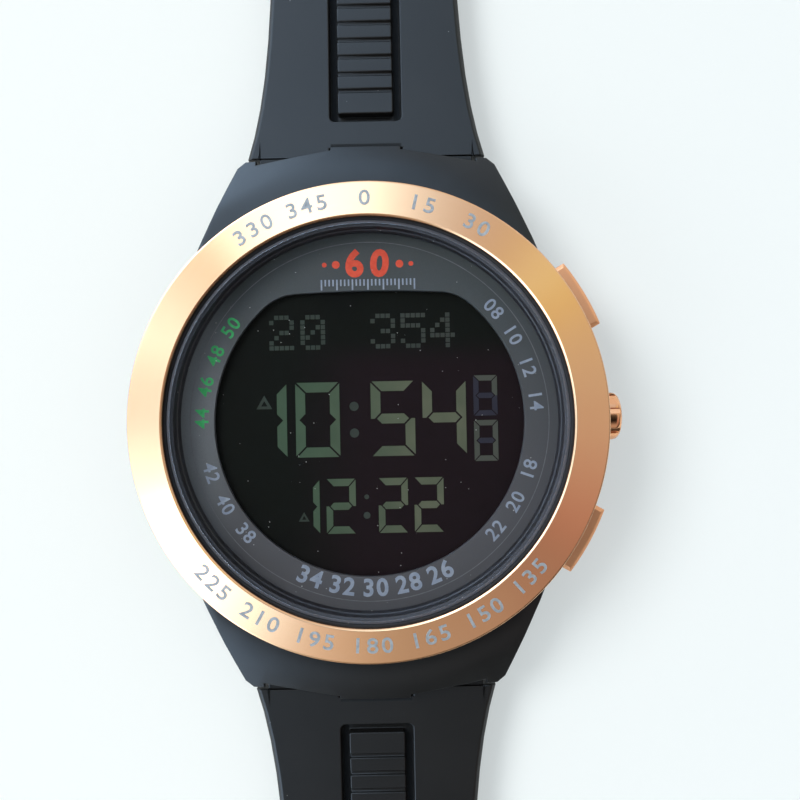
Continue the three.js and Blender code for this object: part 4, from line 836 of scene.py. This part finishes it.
# Strap: two halves moulded in black rubber, flared at the lugs, with a ribbed panel sunk in a
# channel down the middle, and soft rounded edges all over.
def strap_hollow_shade(start):
    """Painted shade: 1 in the channel beside the ribbed panel and in the notch between the lugs, 0
    elsewhere.
    """
    off = start.make("Math", {"operation": "ABSOLUTE"}, {0: axis(start, "X")})
    along = start.make("Math", {"operation": "ABSOLUTE"}, {0: axis(start, "Y")})
    above = axis(start, "Z").rise(4.6 * mm, 4.8 * mm)
    beside = off.rise(3.12 * mm, 3.30 * mm) * (1 - off.rise(3.98 * mm, 4.16 * mm))
    channel = beside * along.rise(34.4 * mm, 34.6 * mm)
    notch = (1 - off.rise(4.0 * mm, 4.1 * mm)) * (1 - along.rise(31.62 * mm, 31.8 * mm)) * above
    return start.make("Math", {"operation": "MAXIMUM"}, {0: channel, 1: notch})


# The strap's rubber gets painted shade in its channel and in the notch at the lugs.
strap_rubber = rubber(
    "strap_rubber", (0.0044, 0.0040, 0.0035), (0.0064, 0.0059, 0.0053), fine=0.16, depth=0.008,
    rough=0.36, dust=0.6, hollow_shade=strap_hollow_shade)
for node, name, body in (
        ("strap_buckle_half", "strap_buckle_band", "buckle_strap"),
        ("strap_tail_half", "strap_tail_band", "tail_strap")):
    band = moulded(node, name, 0.16, 3, 24, 32)
    band.data.materials.append(strap_rubber)
    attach(band, body)
    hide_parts(node)

# Keepers: two loops moulded in the strap's own rubber. One is fixed beside the buckle, and the other
# slides along the strap to hold its tail down.
for node, name, body in (
        ("fixed_keeper", "fixed_keeper_loop", "buckle_strap"),
        ("free_keeper", "free_keeper_loop", "sliding_keeper")):
    loop = moulded(node, name, 0.16, 3, 30, 40)
    loop.data.materials.append(strap_rubber)
    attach(loop, body)
    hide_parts(node)

# Buckle: a cast and brushed steel frame bowed to the wrist, its pin, and a bent steel tongue whose
# eye turns on the pin.
brushed_steel = plain_steel(
    "brushed_steel", (0.40, 0.405, 0.415), (0.62, 0.625, 0.63), 0.24, size=0.06, stretch=(30, 1, 1))
for node, name, body, width in (
        ("buckle_frame", "buckle_frame_cast", "buckle", 0.3),
        ("buckle_pin", "buckle_pin_rod", "buckle", 0.12),
        ("buckle_tongue", "buckle_tongue_bent", "tongue", 0.14)):
    metal = moulded(node, name, width, 3, 38, 34)
    metal.data.materials.append(brushed_steel)
    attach(metal, body)
    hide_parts(node)

# Inner pieces: module plastics, board, springs, clips, seals and bars that show only in a gap or
# with a piece taken away. Each keeps its own solid and gets its real finish.
white_plastic, start = material("white_module_plastic")
fine = grain(start, 0.12, 3)
surface(start, bump=fine, depth=0.006, Base_Color=fine.blend((0.66, 0.65, 0.61), (0.74, 0.73, 0.70)),
        Roughness=0.45 + fine * 0.15)
green_board, start = material("green_circuit_board")
fine = grain(start, 0.2, 3)
tracks = start.make("TexBrick", {"offset": 0.4}, {
    "Vector": place_of(start), "Scale": 1 / (1.6 * mm), "Mortar Size": 0.04}, out="Fac")
base = tracks.blend(fine.blend((0.012, 0.095, 0.045), (0.02, 0.13, 0.06)), (0.05, 0.24, 0.10))
surface(start, bump=tracks, depth=0.02, Base_Color=base, Roughness=0.38 + fine * 0.1)
brass, start = material("drawn_brass")
fine = grain(start, 0.08, 3)
surface(start, bump=fine, depth=0.003, Base_Color=fine.blend((0.60, 0.42, 0.16), (0.74, 0.55, 0.26)),
        Metallic=1.0, Roughness=0.28 + fine * 0.12)
for look, members in (
        (white_plastic, ["reflector_film", "backlight_panel", "display_holder", "module_frame"]),
        (seal_rubber, ["display_connector_strip", "case_back_gasket", "upper_pusher_seal",
                       "lower_pusher_seal", "crown_button_seal"]),
        (green_board, ["circuit_board"]),
        (black_satin, ["controller_chip", "compass_sensor"]),
        (brass, ["booster_coil", "buzzer_contact_spring", "buzzer_disc"]),
        (steel, ["quartz_can", "battery_cell", "battery_clip", "upper_pusher_spring", "lower_pusher_spring",
                 "crown_button_spring", "upper_pusher_circlip", "lower_pusher_circlip",
                 "crown_button_circlip", "spring_bar_12", "spring_bar_6"])):
    for node in members:
        nodes[node].data.materials.clear()
        nodes[node].data.materials.append(look)

bpy.context.scene.view_settings.view_transform = "Standard"
